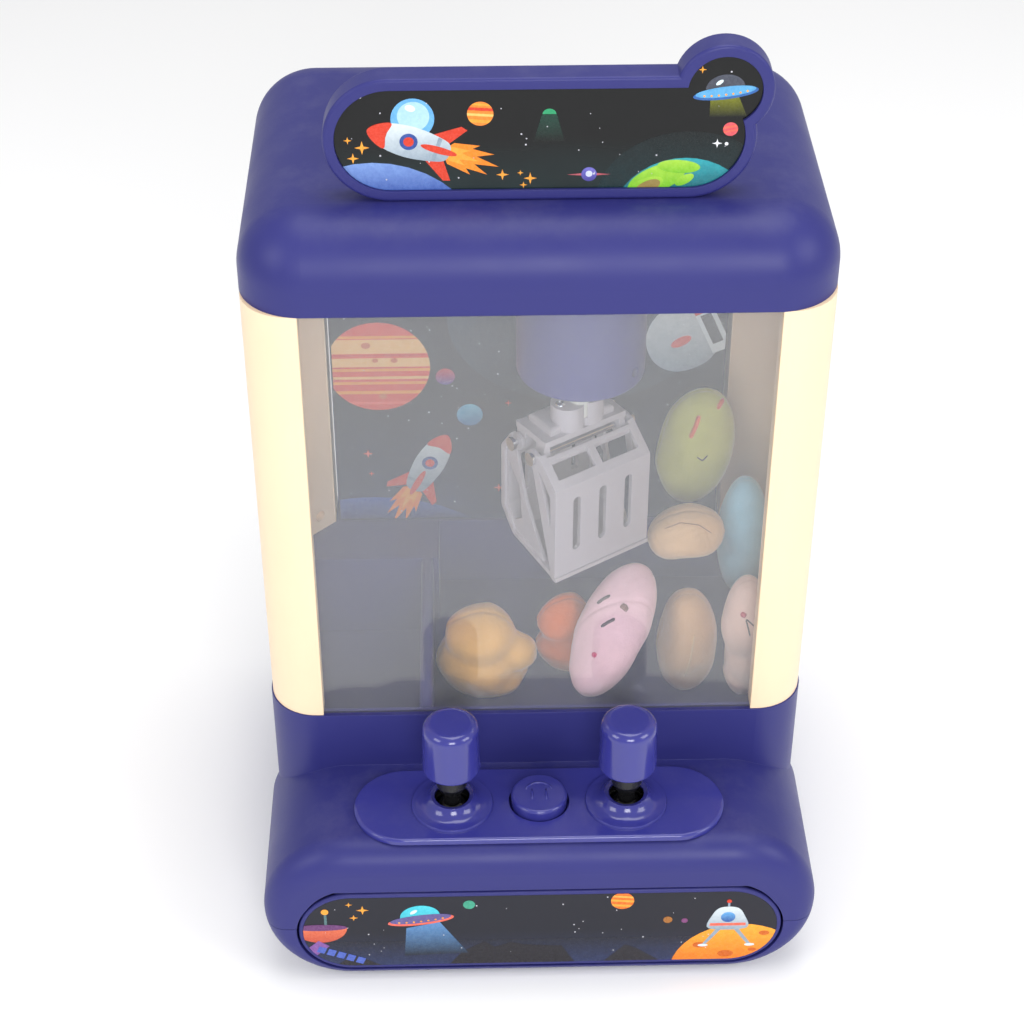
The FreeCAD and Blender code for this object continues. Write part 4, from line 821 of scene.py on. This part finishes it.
class CRANE_OT_print_sign(bpy.types.Operator):
    """Print the sign: rocket, planets, saucer and stars"""

    bl_idname = "crane.print_sign"
    bl_label = "Print the sign"

    def execute(self, context):
        low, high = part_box("sign_face")
        radius = SIGN_R
        bottom = low.z
        pill = stadium(0, radius, -low.x / MM, radius)
        art = Print(low.y, pill, bottom)
        art.shape(1, ellipse(48, -6, 30, 26), srgb(14, 44, 48), top=srgb(16, 24, 26))
        art.shape(2, ellipse(-54, -28, 38), srgb(74, 104, 178), top=srgb(126, 158, 216))
        globe = ellipse(47, -13.5, 24)
        art.shape(2, globe, srgb(30, 110, 120), top=srgb(48, 166, 176))
        land, meadow = srgb(120, 190, 40), srgb(170, 214, 70)
        for x, z, wide, deep, turn in ((38, 3, 10, 4.6, 24), (45, 7.4, 7, 2.4, -4), (33, -1, 8, 3.4, 30),
                                       (47, 2.6, 3.4, 1.6, 30)):
            art.shape(3, ellipse(x, z, wide, deep, turn=turn), land, top=meadow, within=globe)
        art.shape(4, ellipse(35, 0, 4.6, 2.2, turn=28), srgb(150, 130, 70), within=globe)
        draw_rocket(art, 3, -42, 17.4, 162, 1.12, -1)
        art.banded(2, -19, 27, 4.2, srgb(238, 140, 52),
                   [(-0.75, -0.5, GOLD), (-0.2, 0.0, srgb(250, 196, 110)), (0.25, 0.5, RED),
                    (0.68, 0.84, GOLD)], -4)
        art.shape(2, ellipse(3, 26.6, 2.2, 1.9, start=0, end=180), srgb(50, 160, 110))
        art.shape(1, [(0.6, 26.4), (5.4, 26.4), (8, 17), (-2, 17)], srgb(16, 20, 20),
                  top=srgb(26, 66, 54))
        art.shape(2, [(9, 4.9), (16, 5.6), (23, 4.9), (16, 4.4)], srgb(186, 92, 104))
        art.shape(3, ellipse(16, 5, 2.5), srgb(70, 64, 150), top=srgb(120, 116, 200))
        art.shape(4, ellipse(16, 5.2, 1.1), srgb(206, 212, 236))
        draw_stars(art, 3, [(-61.5, 18, 1.3), (-57, 15.4, 2.4), (-60, 11.6, 1.9), (-12, 5.2, 2.0),
                            (-6.2, 5.8, 1.0), (-3, 3.8, 2.1), (-5.2, 1.4, 1.2)], GOLD)
        draw_stars(art, 3, [(57, 15.6, 1.6)], srgb(232, 234, 240))
        art.shape(3, ellipse(60, 15.4, 0.6), srgb(232, 234, 240))
        art.banded(2, 61, 20.6, 2.4, srgb(216, 92, 100), [(-0.4, -0.15, CORAL), (0.2, 0.5, CORAL)], 10)
        art.specks(1, context.scene.crane_print.star_count, 62, 2, 2 * radius - 2, 11)
        art.piece("sign_art", "root")

        disc = ellipse(high.x / MM - DISC_R, (high.z - low.z) / MM - DISC_R, DISC_R - INK_MARGIN)
        craft = Print(low.y, disc, bottom)
        craft.shape(1, [(54, 31), (63, 32), (66, 25), (54, 25)], srgb(24, 26, 20), top=srgb(120, 124, 30))
        draw_saucer(craft, 2, 58.8, 33.2, 10.4, 7, srgb(70, 74, 86), srgb(96, 168, 214), srgb(52, 104, 172))
        draw_stars(craft, 2, [(51, 41.4, 1.3)], GOLD)
        craft.specks(1, 8, 68, 28, 45, 5)
        craft.piece("sign_saucer_art", "root")
        return {"FINISHED"}


class CRANE_OT_print_flap(bpy.types.Operator):
    """Print the flap: saucer with its beam, moon, lander, dish and stars"""

    bl_idname = "crane.print_flap"
    bl_label = "Print the prize flap"

    def execute(self, context):
        low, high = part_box("flap_label")
        radius = (high.z - low.z) / 2 / MM
        art = Print(low.y, stadium(0, radius, high.x / MM, radius), low.z)
        night = srgb(36, 38, 48)
        art.shape(1, [(-90, -1), (90, -1), (90, 13), (-90, 13)], srgb(46, 56, 92), top=srgb(36, 38, 50))
        art.shape(2, [(-34, 0), (-29, 7), (-21, 12), (-17, 9), (-11, 11.5), (-6, 10), (8, 9), (13, 0)],
                  srgb(40, 38, 44))
        art.shape(2, [(24, 0), (32, 9), (36, 7), (45, 0)], srgb(44, 42, 48))
        art.shape(2, [(-77, 0), (-70, 6), (-60, 0)], srgb(44, 42, 48))
        art.shape(3, [(-50, 20), (-37.5, 23), (-27, 6), (-51, 5)], night, top=srgb(98, 146, 196))
        draw_saucer(art, 4, -44.5, 24.2, 12.4, 8, srgb(72, 190, 204), srgb(106, 96, 150), CORAL)
        draw_stars(art, 3, [(-71, 33, 1.3), (-66, 30, 2.3), (-69.4, 26, 1.6)], GOLD)
        art.shape(3, ellipse(-26.5, 32, 2.2), srgb(70, 164, 136))
        art.banded(3, 30.3, 32.6, 4.3, srgb(232, 120, 40),
                   [(-0.7, -0.45, GOLD), (-0.12, 0.12, GOLD), (0.4, 0.6, srgb(250, 178, 84))], -6)
        art.shape(3, ellipse(47.5, 22, 1.7), srgb(168, 110, 50))
        art.shape(3, ellipse(53.8, 21.4, 1.2), srgb(130, 70, 120))
        moon = ellipse(75, -6, 26, 25)
        art.shape(3, moon, srgb(230, 128, 34), top=srgb(250, 176, 56))
        for x, z, size in ((60, 8, 2.6), (84, 14, 2.0), (70, 3, 3.0), (80, 5, 1.6)):
            art.shape(4, ellipse(x, z, size, size * 0.6), srgb(206, 104, 28), within=moon)
        for side in (-1, 1):
            art.shape(5, [(70 + side * 2, 17), (70 + side * 8, 8), (70 + side * 9.4, 8),
                          (70 + side * 4, 17)], SHADOW)
            art.shape(6, ellipse(70 + side * 8.8, 7.8, 1.9, 0.7), PALE)
        art.shape(6, rounded([(63, 17), (64, 24), (67, 28), (73, 28), (76, 24), (77, 17)]), SHADOW, top=PALE)
        art.shape(7, ellipse(70, 23, 2.7), DEEP, top=SKY)
        art.shape(7, [(63.2, 18.4), (76.8, 18.4), (76.7, 19.8), (63.4, 19.8)], CORAL)
        art.shape(5, [(69.6, 28), (70.4, 28), (70.4, 31), (69.6, 31)], SHADOW)
        art.shape(6, ellipse(70, 31.4, 0.9), RED)
        art.shape(4, [(-80.4, 20), (-79.4, 20), (-79.4, 29), (-80.4, 29)], srgb(90, 120, 124))
        art.shape(5, ellipse(-80, 29.4, 1.4), GOLD)
        art.shape(4, ellipse(-82, 21, 10, 8, start=180, end=360), srgb(196, 84, 62), top=srgb(224, 120, 84))
        art.shape(5, ellipse(-82, 21, 10, 1.6), srgb(112, 66, 118))
        art.shape(4, [(-89, 8), (-83, 14), (-79, 11), (-86, 4)], srgb(134, 90, 160))
        for k in range(5):
            art.shape(5, turned([(0, 0), (3, 0), (3, 3.2), (0, 3.2)], -84 + 3.6 * k, 8 - 1.5 * k, -22),
                      srgb(84, 106, 190))
        art.specks(2, context.scene.crane_print.star_count, 84, 4, 35, 7)
        art.piece("flap_art", "flap")
        return {"FINISHED"}


class CRANE_OT_print_backdrop(bpy.types.Operator):
    """Print the backdrop: planets, rocket and a plain station"""

    bl_idname = "crane.print_backdrop"
    bl_label = "Print the backdrop"

    def execute(self, context):
        low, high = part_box("backdrop_card")
        half = high.x / MM - 0.5
        border = [(-half, 93), (half, 93), (half, 264), (-half, 264)]
        art = Print(low.y, border)
        art.shape(1, ellipse(20, 190, 52, 40), srgb(22, 34, 52), top=srgb(30, 60, 84))
        art.shape(1, ellipse(-64, 58, 62, 46), srgb(30, 50, 104), top=srgb(58, 94, 176))
        cream, flame = srgb(244, 198, 128), srgb(226, 74, 48)
        art.banded(2, -59.5, 168, 20.6, flame,
                   [(-0.86, -0.8, CORAL), (-0.62, -0.55, GOLD), (-0.4, -0.34, GOLD), (-0.28, -0.22, cream),
                    (-0.1, -0.04, GOLD), (0.0, 0.2, cream), (0.24, 0.28, RED), (0.3, 0.62, cream),
                    (0.64, 0.7, GOLD)], 0)
        for x, z, size in ((-64, 178, 1.8), (-60.5, 171, 1.2), (-53, 171, 1.4), (-58, 154, 1.6)):
            art.shape(4, ellipse(x, z, size, size * 0.8), srgb(214, 120, 70))
        art.shape(2, ellipse(-33, 163, 3.8), srgb(84, 60, 150), top=srgb(206, 60, 70))
        art.shape(2, ellipse(-23.5, 144.5, 5.2), srgb(52, 120, 170), top=srgb(110, 190, 220))
        draw_rocket(art, 3, -40, 121, 62, 1.25, 0)
        draw_stars(art, 2, [(-65, 126, 2.0), (-64, 116, 1.2), (-12, 108, 2.0), (-8, 150, 1.4)], CORAL)
        art.shape(2, rounded([(50, 168), (46, 180), (52, 192), (66, 194), (76, 184), (72, 170),
                              (60, 164)]), SHADOW, top=srgb(206, 214, 216))
        art.shape(3, turned([(-4, -11), (4, -11), (4, 11), (-4, 11)], 72, 184, 24), PALE)
        art.shape(4, turned([(-2.2, -8), (2.2, -8), (2.2, 6), (-2.2, 6)], 71.4, 185, 24), srgb(60, 66, 74))
        art.shape(4, turned([(-4, 8), (4, 8), (4, 10.4), (-4, 10.4)], 72, 184, 24), RED)
        art.shape(4, ellipse(60, 178, 4.4, 2.0, turn=30), RED)
        art.specks(1, 3 * context.scene.crane_print.star_count, 76, 96, 262, 3)
        art.piece("backdrop_art", "door")
        return {"FINISHED"}


class CRANE_OT_emboss_button(bpy.types.Operator):
    """Raise a plain mark of an arch and two bars on the push button"""

    bl_idname = "crane.emboss_button"
    bl_label = "Emboss the push button"

    def execute(self, context):
        low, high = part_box("push_button")
        centre = Vector(((low.x + high.x) / 2, (low.y + high.y) / 2, high.z))
        mark = bmesh.new()
        for x in (-0.0026, 0.0026):
            path = [centre + Vector((x, y, 0)) for y in (-0.0036, -0.0018, 0.0, 0.0018)]
            tube(mark, path, 0.0005)
        arch = []
        for k in range(13):
            angle = math.radians(20 + 140 * k / 12)
            arch.append(centre + Vector((0.0052 * math.cos(angle), 0.0052 * math.sin(angle), 0)))
        tube(mark, arch, 0.0005)
        new_piece("button_mark", mark, "button", [finish_of("gloss_blue")])
        return {"FINISHED"}


def cross_screw(name, place, axis, radius, body):
    """Domed screw head with a cross-shaped recess."""
    head = bmesh.new()
    dome = [(0, -0.25 * radius), (radius, -0.25 * radius), (radius, 0.1 * radius)]
    for k in range(1, 6):
        angle = math.radians(90 * k / 6)
        dome.append((radius * math.cos(angle), radius * (0.1 + 0.4 * math.sin(angle))))
    dome.append((0, 0.5 * radius))
    lathe(head, dome, place, axis)
    piece = new_piece(name, head, body, [finish_of("bright_pin")])
    turn = UP.rotation_difference(axis).to_matrix().to_4x4()
    cross = bmesh.new()
    for quarter in (0, 90):
        spin = Matrix.Rotation(math.radians(quarter + 20), 4, "Z")
        size = Matrix.Diagonal((1.2 * radius, 0.26 * radius, 0.8 * radius, 1))
        bmesh.ops.create_cube(cross, size=1.0, matrix=Matrix.Translation(place) @ turn @ spin
                              @ Matrix.Translation((0, 0, 0.6 * radius)) @ size)
    mesh = bpy.data.meshes.new("cross_cutter")
    cross.to_mesh(mesh)
    cross.free()
    cutter = bpy.data.objects.new("cross_cutter", mesh)
    bpy.context.scene.collection.objects.link(cutter)
    cut = piece.modifiers.new("recess", "BOOLEAN")
    cut.operation = "DIFFERENCE"
    cut.solver = "EXACT"
    cut.use_self = True
    cut.object = cutter
    settle(piece)
    bpy.data.objects.remove(cutter)
    return piece


class CRANE_OT_fit_screws(bpy.types.Operator):
    """Fit bright screws on top of the claw's two-lobed boss"""

    bl_idname = "crane.fit_screws"
    bl_label = "Fit the claw's screws"

    def execute(self, context):
        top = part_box("claw_head")[1].z
        yaw = math.radians(CLAW_YAW)
        pivot = Vector(next(j for j in frame["joints"] if j["name"] == "claw_swivel")["pos_m"])
        for side, name in ((-1, "left"), (1, "right")):
            u, v = side * BOSS_SCREW_OUT * MM, BOSS_SCREW_BACK * MM
            place = Vector((pivot.x + u * math.cos(yaw) - v * math.sin(yaw),
                            pivot.y + u * math.sin(yaw) + v * math.cos(yaw), top))
            cross_screw("claw_boss_screw_" + name, place, UP, BOSS_SCREW_R * MM, "claw")
        return {"FINISHED"}


# each prize: lobes as (middle, half lengths) in halves of its box,
# and pinches as (middle in halves, reach, depth)
PRIZES = {
    "yellow": ([((-0.2, 0.0, -0.3), (0.82, 0.98, 0.74)), ((-0.12, 0.0, 0.42), (0.7, 0.85, 0.6)),
                ((0.55, -0.1, 0.05), (0.5, 0.52, 0.36)), ((0.3, 0.0, -0.6), (0.6, 0.8, 0.4))],
               [((0.95, -0.4, -0.5), 0.010, 0.0024)]),
    "orange": ([((0.0, 0.0, -0.42), (1.0, 1.0, 0.62)), ((-0.25, 0.0, 0.45), (0.72, 0.9, 0.6)),
                ((0.0, 0.0, 0.0), (0.75, 0.85, 0.6))], []),
    "pink": ([], [((-0.75, -0.5, -0.1), 0.014, 0.0026), ((0.8, -0.4, -0.55), 0.014, 0.0020)]),
    "brown": ([], [((-0.9, -0.3, 0.35), 0.014, 0.0024), ((0.3, -0.9, -0.45), 0.012, 0.0018)]),
    "tan": ([], [((0.0, -0.7, -0.9), 0.014, 0.0022), ((0.5, -0.6, 0.5), 0.010, 0.0014)]),
    "peach": ([((0.0, 0.0, 0.3), (0.98, 0.98, 0.68)), ((0.1, 0.0, -0.3), (0.82, 0.85, 0.62)),
               ((-0.1, 0.0, -0.72), (0.72, 0.8, 0.28))], []),
    "blue": ([], [((-0.9, -0.5, -0.1), 0.012, 0.0018)]),
    "green": ([], [((-0.9, -0.4, 0.2), 0.014, 0.0016)]),
}

# sewn marks: thread colour and a stroke of (right, up) millimetres from the middle, seen from front and above
DARK = srgb(62, 44, 42)
MARKS = {
    "pink": [(DARK, [(-6.0, 10.2), (-3.6, 12.0), (-1.2, 13.2)], 1.3),
             (DARK, [(-5.0, 1.6), (-2.5, 3.2), (0.2, 4.6)], 1.3),
             (srgb(132, 84, 74), [(3.0, 8.2), (3.7, 9.3), (4.4, 8.4), (3.6, 7.6)], 2.4),
             (srgb(230, 60, 120), [(-8.4, -8.6), (-7.0, -9.4)], 2.0)],
    "peach": [(DARK, [(-1.6, 7.0), (-0.6, 3.6), (0.2, 0.6)], 0.6),
              (DARK, [(-1.4, 7.2), (1.0, 5.0), (3.2, 3.4)], 0.6),
              (srgb(206, 70, 90), [(-3.4, 9.4), (-1.6, 8.4)], 2.2)],
    "tan": [(srgb(150, 110, 76), [(-9.0, 2.0), (-3.0, 4.2), (4.0, 3.2), (9.0, 0.0)], 0.45)],
    "brown": [(srgb(222, 190, 140), [(-1.0, -14.0), (0.6, -6.0), (1.6, 3.0)], 0.5)],
    "green": [(srgb(246, 112, 50), [(-3.4, 2.5), (-1.4, 7.0), (-0.2, 11.0)], 1.9),
              (srgb(246, 112, 50), [(7.0, 13.6), (9.4, 17.4)], 1.9),
              (DARK, [(-0.5, -5.0), (1.6, -6.4), (3.6, -4.4)], 0.6)],
}
SEEN_FROM = Vector((0.0, -0.8, 0.6))


def sewing_blank(name, lobes):
    """Closed blank of a prize: its lobes, or its plain solid slightly shrunk."""
    node = "plush_" + name
    low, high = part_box(node)
    middle = (low + high) / 2
    half = (high - low) / 2
    blank = bmesh.new()
    if lobes:
        for offset, size in lobes:
            place = middle + Vector(a * b for a, b in zip(offset, half))
            scale = Matrix.Diagonal([a * b for a, b in zip(size, half)] + [1])
            bmesh.ops.create_icosphere(blank, subdivisions=4, radius=1.0,
                                       matrix=Matrix.Translation(place) @ scale)
    else:
        blank.from_mesh(frame["nodes"][node].data)
        bmesh.ops.remove_doubles(blank, verts=blank.verts, dist=1e-6)
        shrink = Matrix.Translation(middle) @ Matrix.Scale(0.97, 4) @ Matrix.Translation(-middle)
        bmesh.ops.transform(blank, matrix=shrink, verts=blank.verts)
    mesh = bpy.data.meshes.new("prize_" + name)
    blank.to_mesh(mesh)
    blank.free()
    return mesh, middle, half


def stuff(piece, most):
    """Swell the cloth with pressure, but no point further than the cap."""
    rest = [v.co.copy() for v in piece.data.vertices]
    cloth = piece.modifiers.new("stuffing", "CLOTH")
    cloth.settings.use_pressure = True
    cloth.settings.uniform_pressure_force = STUFFING_PRESSURE
    cloth.settings.effector_weights.gravity = 0.0
    cloth.point_cache.frame_start = 1
    cloth.point_cache.frame_end = STUFFING_STEPS
    scene = bpy.context.scene
    for step in range(1, STUFFING_STEPS + 1):
        scene.frame_set(step)
    settle(piece)
    scene.frame_set(1)
    for vertex, start in zip(piece.data.vertices, rest):
        moved = vertex.co - start
        if moved.length > most:
            vertex.co = start + moved.normalized() * most


def hold_inside(piece, node, slack):
    """Pull back every point that stands further out of its CAD solid than the slack."""
    solid = frame["nodes"][node].data
    tree = BVHTree.FromPolygons([v.co for v in solid.vertices], [p.vertices for p in solid.polygons])
    for vertex in piece.data.vertices:
        near, normal, _, distance = tree.find_nearest(vertex.co)
        if (vertex.co - near).dot(normal) > 0 and distance > slack:
            vertex.co = near + normal * slack


def shape_cloth(piece, middle, half, pinches, pile):
    """Side seam, pinches and the unevenness of the pile."""
    for vertex in piece.data.vertices:
        point = vertex.co.copy()
        out = (point - middle).normalized()
        inward = 0.0
        across = abs(point.y - middle.y)
        if across < SEAM_HALF:
            inward += SEAM_DEPTH * (1 - across / SEAM_HALF)
        for offset, reach, depth in pinches:
            place = middle + Vector(a * b for a, b in zip(offset, half))
            near = (point - place).length
            if near < reach:
                inward += depth * math.cos(math.pi / 2 * near / reach) ** 2
        uneven = noise.noise(point * 700) * pile + noise.noise(point * 90) * 3 * pile
        vertex.co = point - out * inward + out * uneven


def sew_marks(name, piece, middle):
    """Raised thread marks laid on the cloth."""
    tree = BVHTree.FromPolygons([v.co for v in piece.data.vertices],
                                [p.vertices for p in piece.data.polygons])
    right = Vector((1, 0, 0))
    up = right.cross(-SEEN_FROM).normalized()
    whole = bmesh.new()
    whole.from_mesh(piece.data)
    for number, (colour, stroke, width) in enumerate(MARKS.get(name, ())):
        piece.data.materials.append(thread(f"thread_{name}_{number}", colour))
        path = []
        for a, b in zip(stroke, stroke[1:]):
            for k in range(6):
                side = a[0] + (b[0] - a[0]) * k / 5
                rise = a[1] + (b[1] - a[1]) * k / 5
                start = middle + (right * side + up * rise) * MM + SEEN_FROM * 0.08
                hit = tree.ray_cast(start, -SEEN_FROM)[0]
                if hit and (not path or (hit - path[-1]).length > 0.0001):
                    path.append(hit)
        if len(path) > 1:
            tube(whole, path, width * MM / 2, number + 1)
    whole.to_mesh(piece.data)
    whole.free()


class CRANE_OT_sew_prizes(bpy.types.Operator):
    """Make the soft prizes: blank, stuffing, seams, pile and sewn marks"""

    bl_idname = "crane.sew_prizes"
    bl_label = "Sew the soft prizes"

    def execute(self, context):
        settings = context.scene.crane_prizes
        for name, (lobes, pinches) in PRIZES.items():
            node = "plush_" + name
            mesh, middle, half = sewing_blank(name, lobes)
            slot = "fleece_" + name
            piece = new_piece("prize_" + name, mesh, "root", [finish_of(slot)])
            remesh = piece.modifiers.new("cells", "REMESH")
            remesh.mode = "VOXEL"
            remesh.voxel_size = settings.voxel
            smooth = piece.modifiers.new("smooth", "SMOOTH")
            smooth.factor = 0.5
            smooth.iterations = 7
            settle(piece)
            stuff(piece, settings.swell)
            hold_inside(piece, node, 0.0)
            finer = piece.modifiers.new("finer", "SUBSURF")
            finer.levels = 1
            finer.render_levels = 1
            settle(piece)
            shape_cloth(piece, middle, half, pinches, settings.pile_height)
            hold_inside(piece, node, 0.0004)
            sew_marks(name, piece, middle)
            for face in piece.data.polygons:
                face.use_smooth = True
            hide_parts(node)
        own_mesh(bpy.data.objects["prize_pink"])
        return {"FINISHED"}


def soft_light(name, place, target, size, power):
    """Square studio light aimed at a point."""
    lamp = bpy.data.lights.new(name, "AREA")
    lamp.shape = "SQUARE"
    lamp.size = size
    lamp.energy = power
    obj = bpy.data.objects.new(name, lamp)
    obj.location = place
    obj.rotation_euler = (Vector(target) - Vector(place)).to_track_quat("-Z", "Y").to_euler()
    bpy.context.scene.collection.objects.link(obj)


def floor_material():
    """Pale matt floor with a barely visible tone."""
    material, graph, shader = new_material("studio_floor")
    tone = graph.noise(3.0, 2.0)
    graph.feed(graph.mix(tone, srgb(250, 250, 250), srgb(245, 245, 246)), shader.inputs["Base Color"])
    graph.feed(graph.span(tone, 0.3, 0.7, 0.8, 0.9), shader.inputs["Roughness"])
    return material


class CRANE_OT_set_stage(bpy.types.Operator):
    """Set the pale floor, soft lights, background and camera"""

    bl_idname = "crane.set_stage"
    bl_label = "Set the stage"

    def execute(self, context):
        settings = context.scene.crane_stage
        scene = context.scene
        sheet = bmesh.new()
        bmesh.ops.create_grid(sheet, x_segments=8, y_segments=8, size=settings.floor_size / 2)
        mesh = bpy.data.meshes.new("floor")
        sheet.to_mesh(mesh)
        sheet.free()
        floor = bpy.data.objects.new("floor", mesh)
        scene.collection.objects.link(floor)
        dress(floor, [floor_material()])
        world = bpy.data.worlds.new("studio")
        world.use_nodes = True
        world.node_tree.nodes["Background"].inputs[0].default_value = (1, 1, 1, 1)
        world.node_tree.nodes["Background"].inputs[1].default_value = BACKGROUND_LIGHT
        scene.world = world
        for softbox in SOFTBOXES:
            soft_light(*softbox)
        scene.view_settings.view_transform = "Standard"
        lens = bpy.data.cameras.new("camera")
        lens.lens = settings.focal_length
        lens.sensor_width = 36.0
        camera = bpy.data.objects.new("camera", lens)
        camera.location = CAMERA_PLACE
        camera.rotation_euler = (math.radians(90 - CAMERA_DOWN), 0.0, math.radians(CAMERA_YAW))
        scene.collection.objects.link(camera)
        scene.camera = camera
        return {"FINISHED"}


OPERATORS = (CRANE_OT_set_stage, CRANE_OT_finish_parts, CRANE_OT_print_sign, CRANE_OT_print_flap,
             CRANE_OT_print_backdrop, CRANE_OT_emboss_button, CRANE_OT_fit_screws, CRANE_OT_sew_prizes)


class CRANE_PT_panel(bpy.types.Panel):
    """Steps and settings of the claw crane toy"""

    bl_label = "Claw crane"
    bl_idname = "CRANE_PT_panel"
    bl_space_type = "VIEW_3D"
    bl_region_type = "UI"
    bl_category = "Claw crane"

    def draw(self, context):
        column = self.layout.column()
        for name, group in SETTINGS.items():
            values = getattr(context.scene, name)
            for key in group.__annotations__:
                column.prop(values, key)
        for operator in OPERATORS:
            column.operator(operator.bl_idname)


def register():
    """Add the settings, operators and panel."""
    for group in SETTINGS.values():
        bpy.utils.register_class(group)
    for name, group in SETTINGS.items():
        setattr(bpy.types.Scene, name, bpy.props.PointerProperty(type=group))
    for item in OPERATORS + (CRANE_PT_panel,):
        bpy.utils.register_class(item)


def unregister():
    """Take them away again."""
    for item in (CRANE_PT_panel,) + OPERATORS[::-1]:
        bpy.utils.unregister_class(item)
    for name in SETTINGS:
        delattr(bpy.types.Scene, name)
    for group in SETTINGS.values():
        bpy.utils.unregister_class(group)


def main():
    """Build every piece in order."""
    register()
    for operator in OPERATORS:
        group, action = operator.bl_idname.split(".")
        getattr(getattr(bpy.ops, group), action)()


if __name__ == "__main__":
    main()
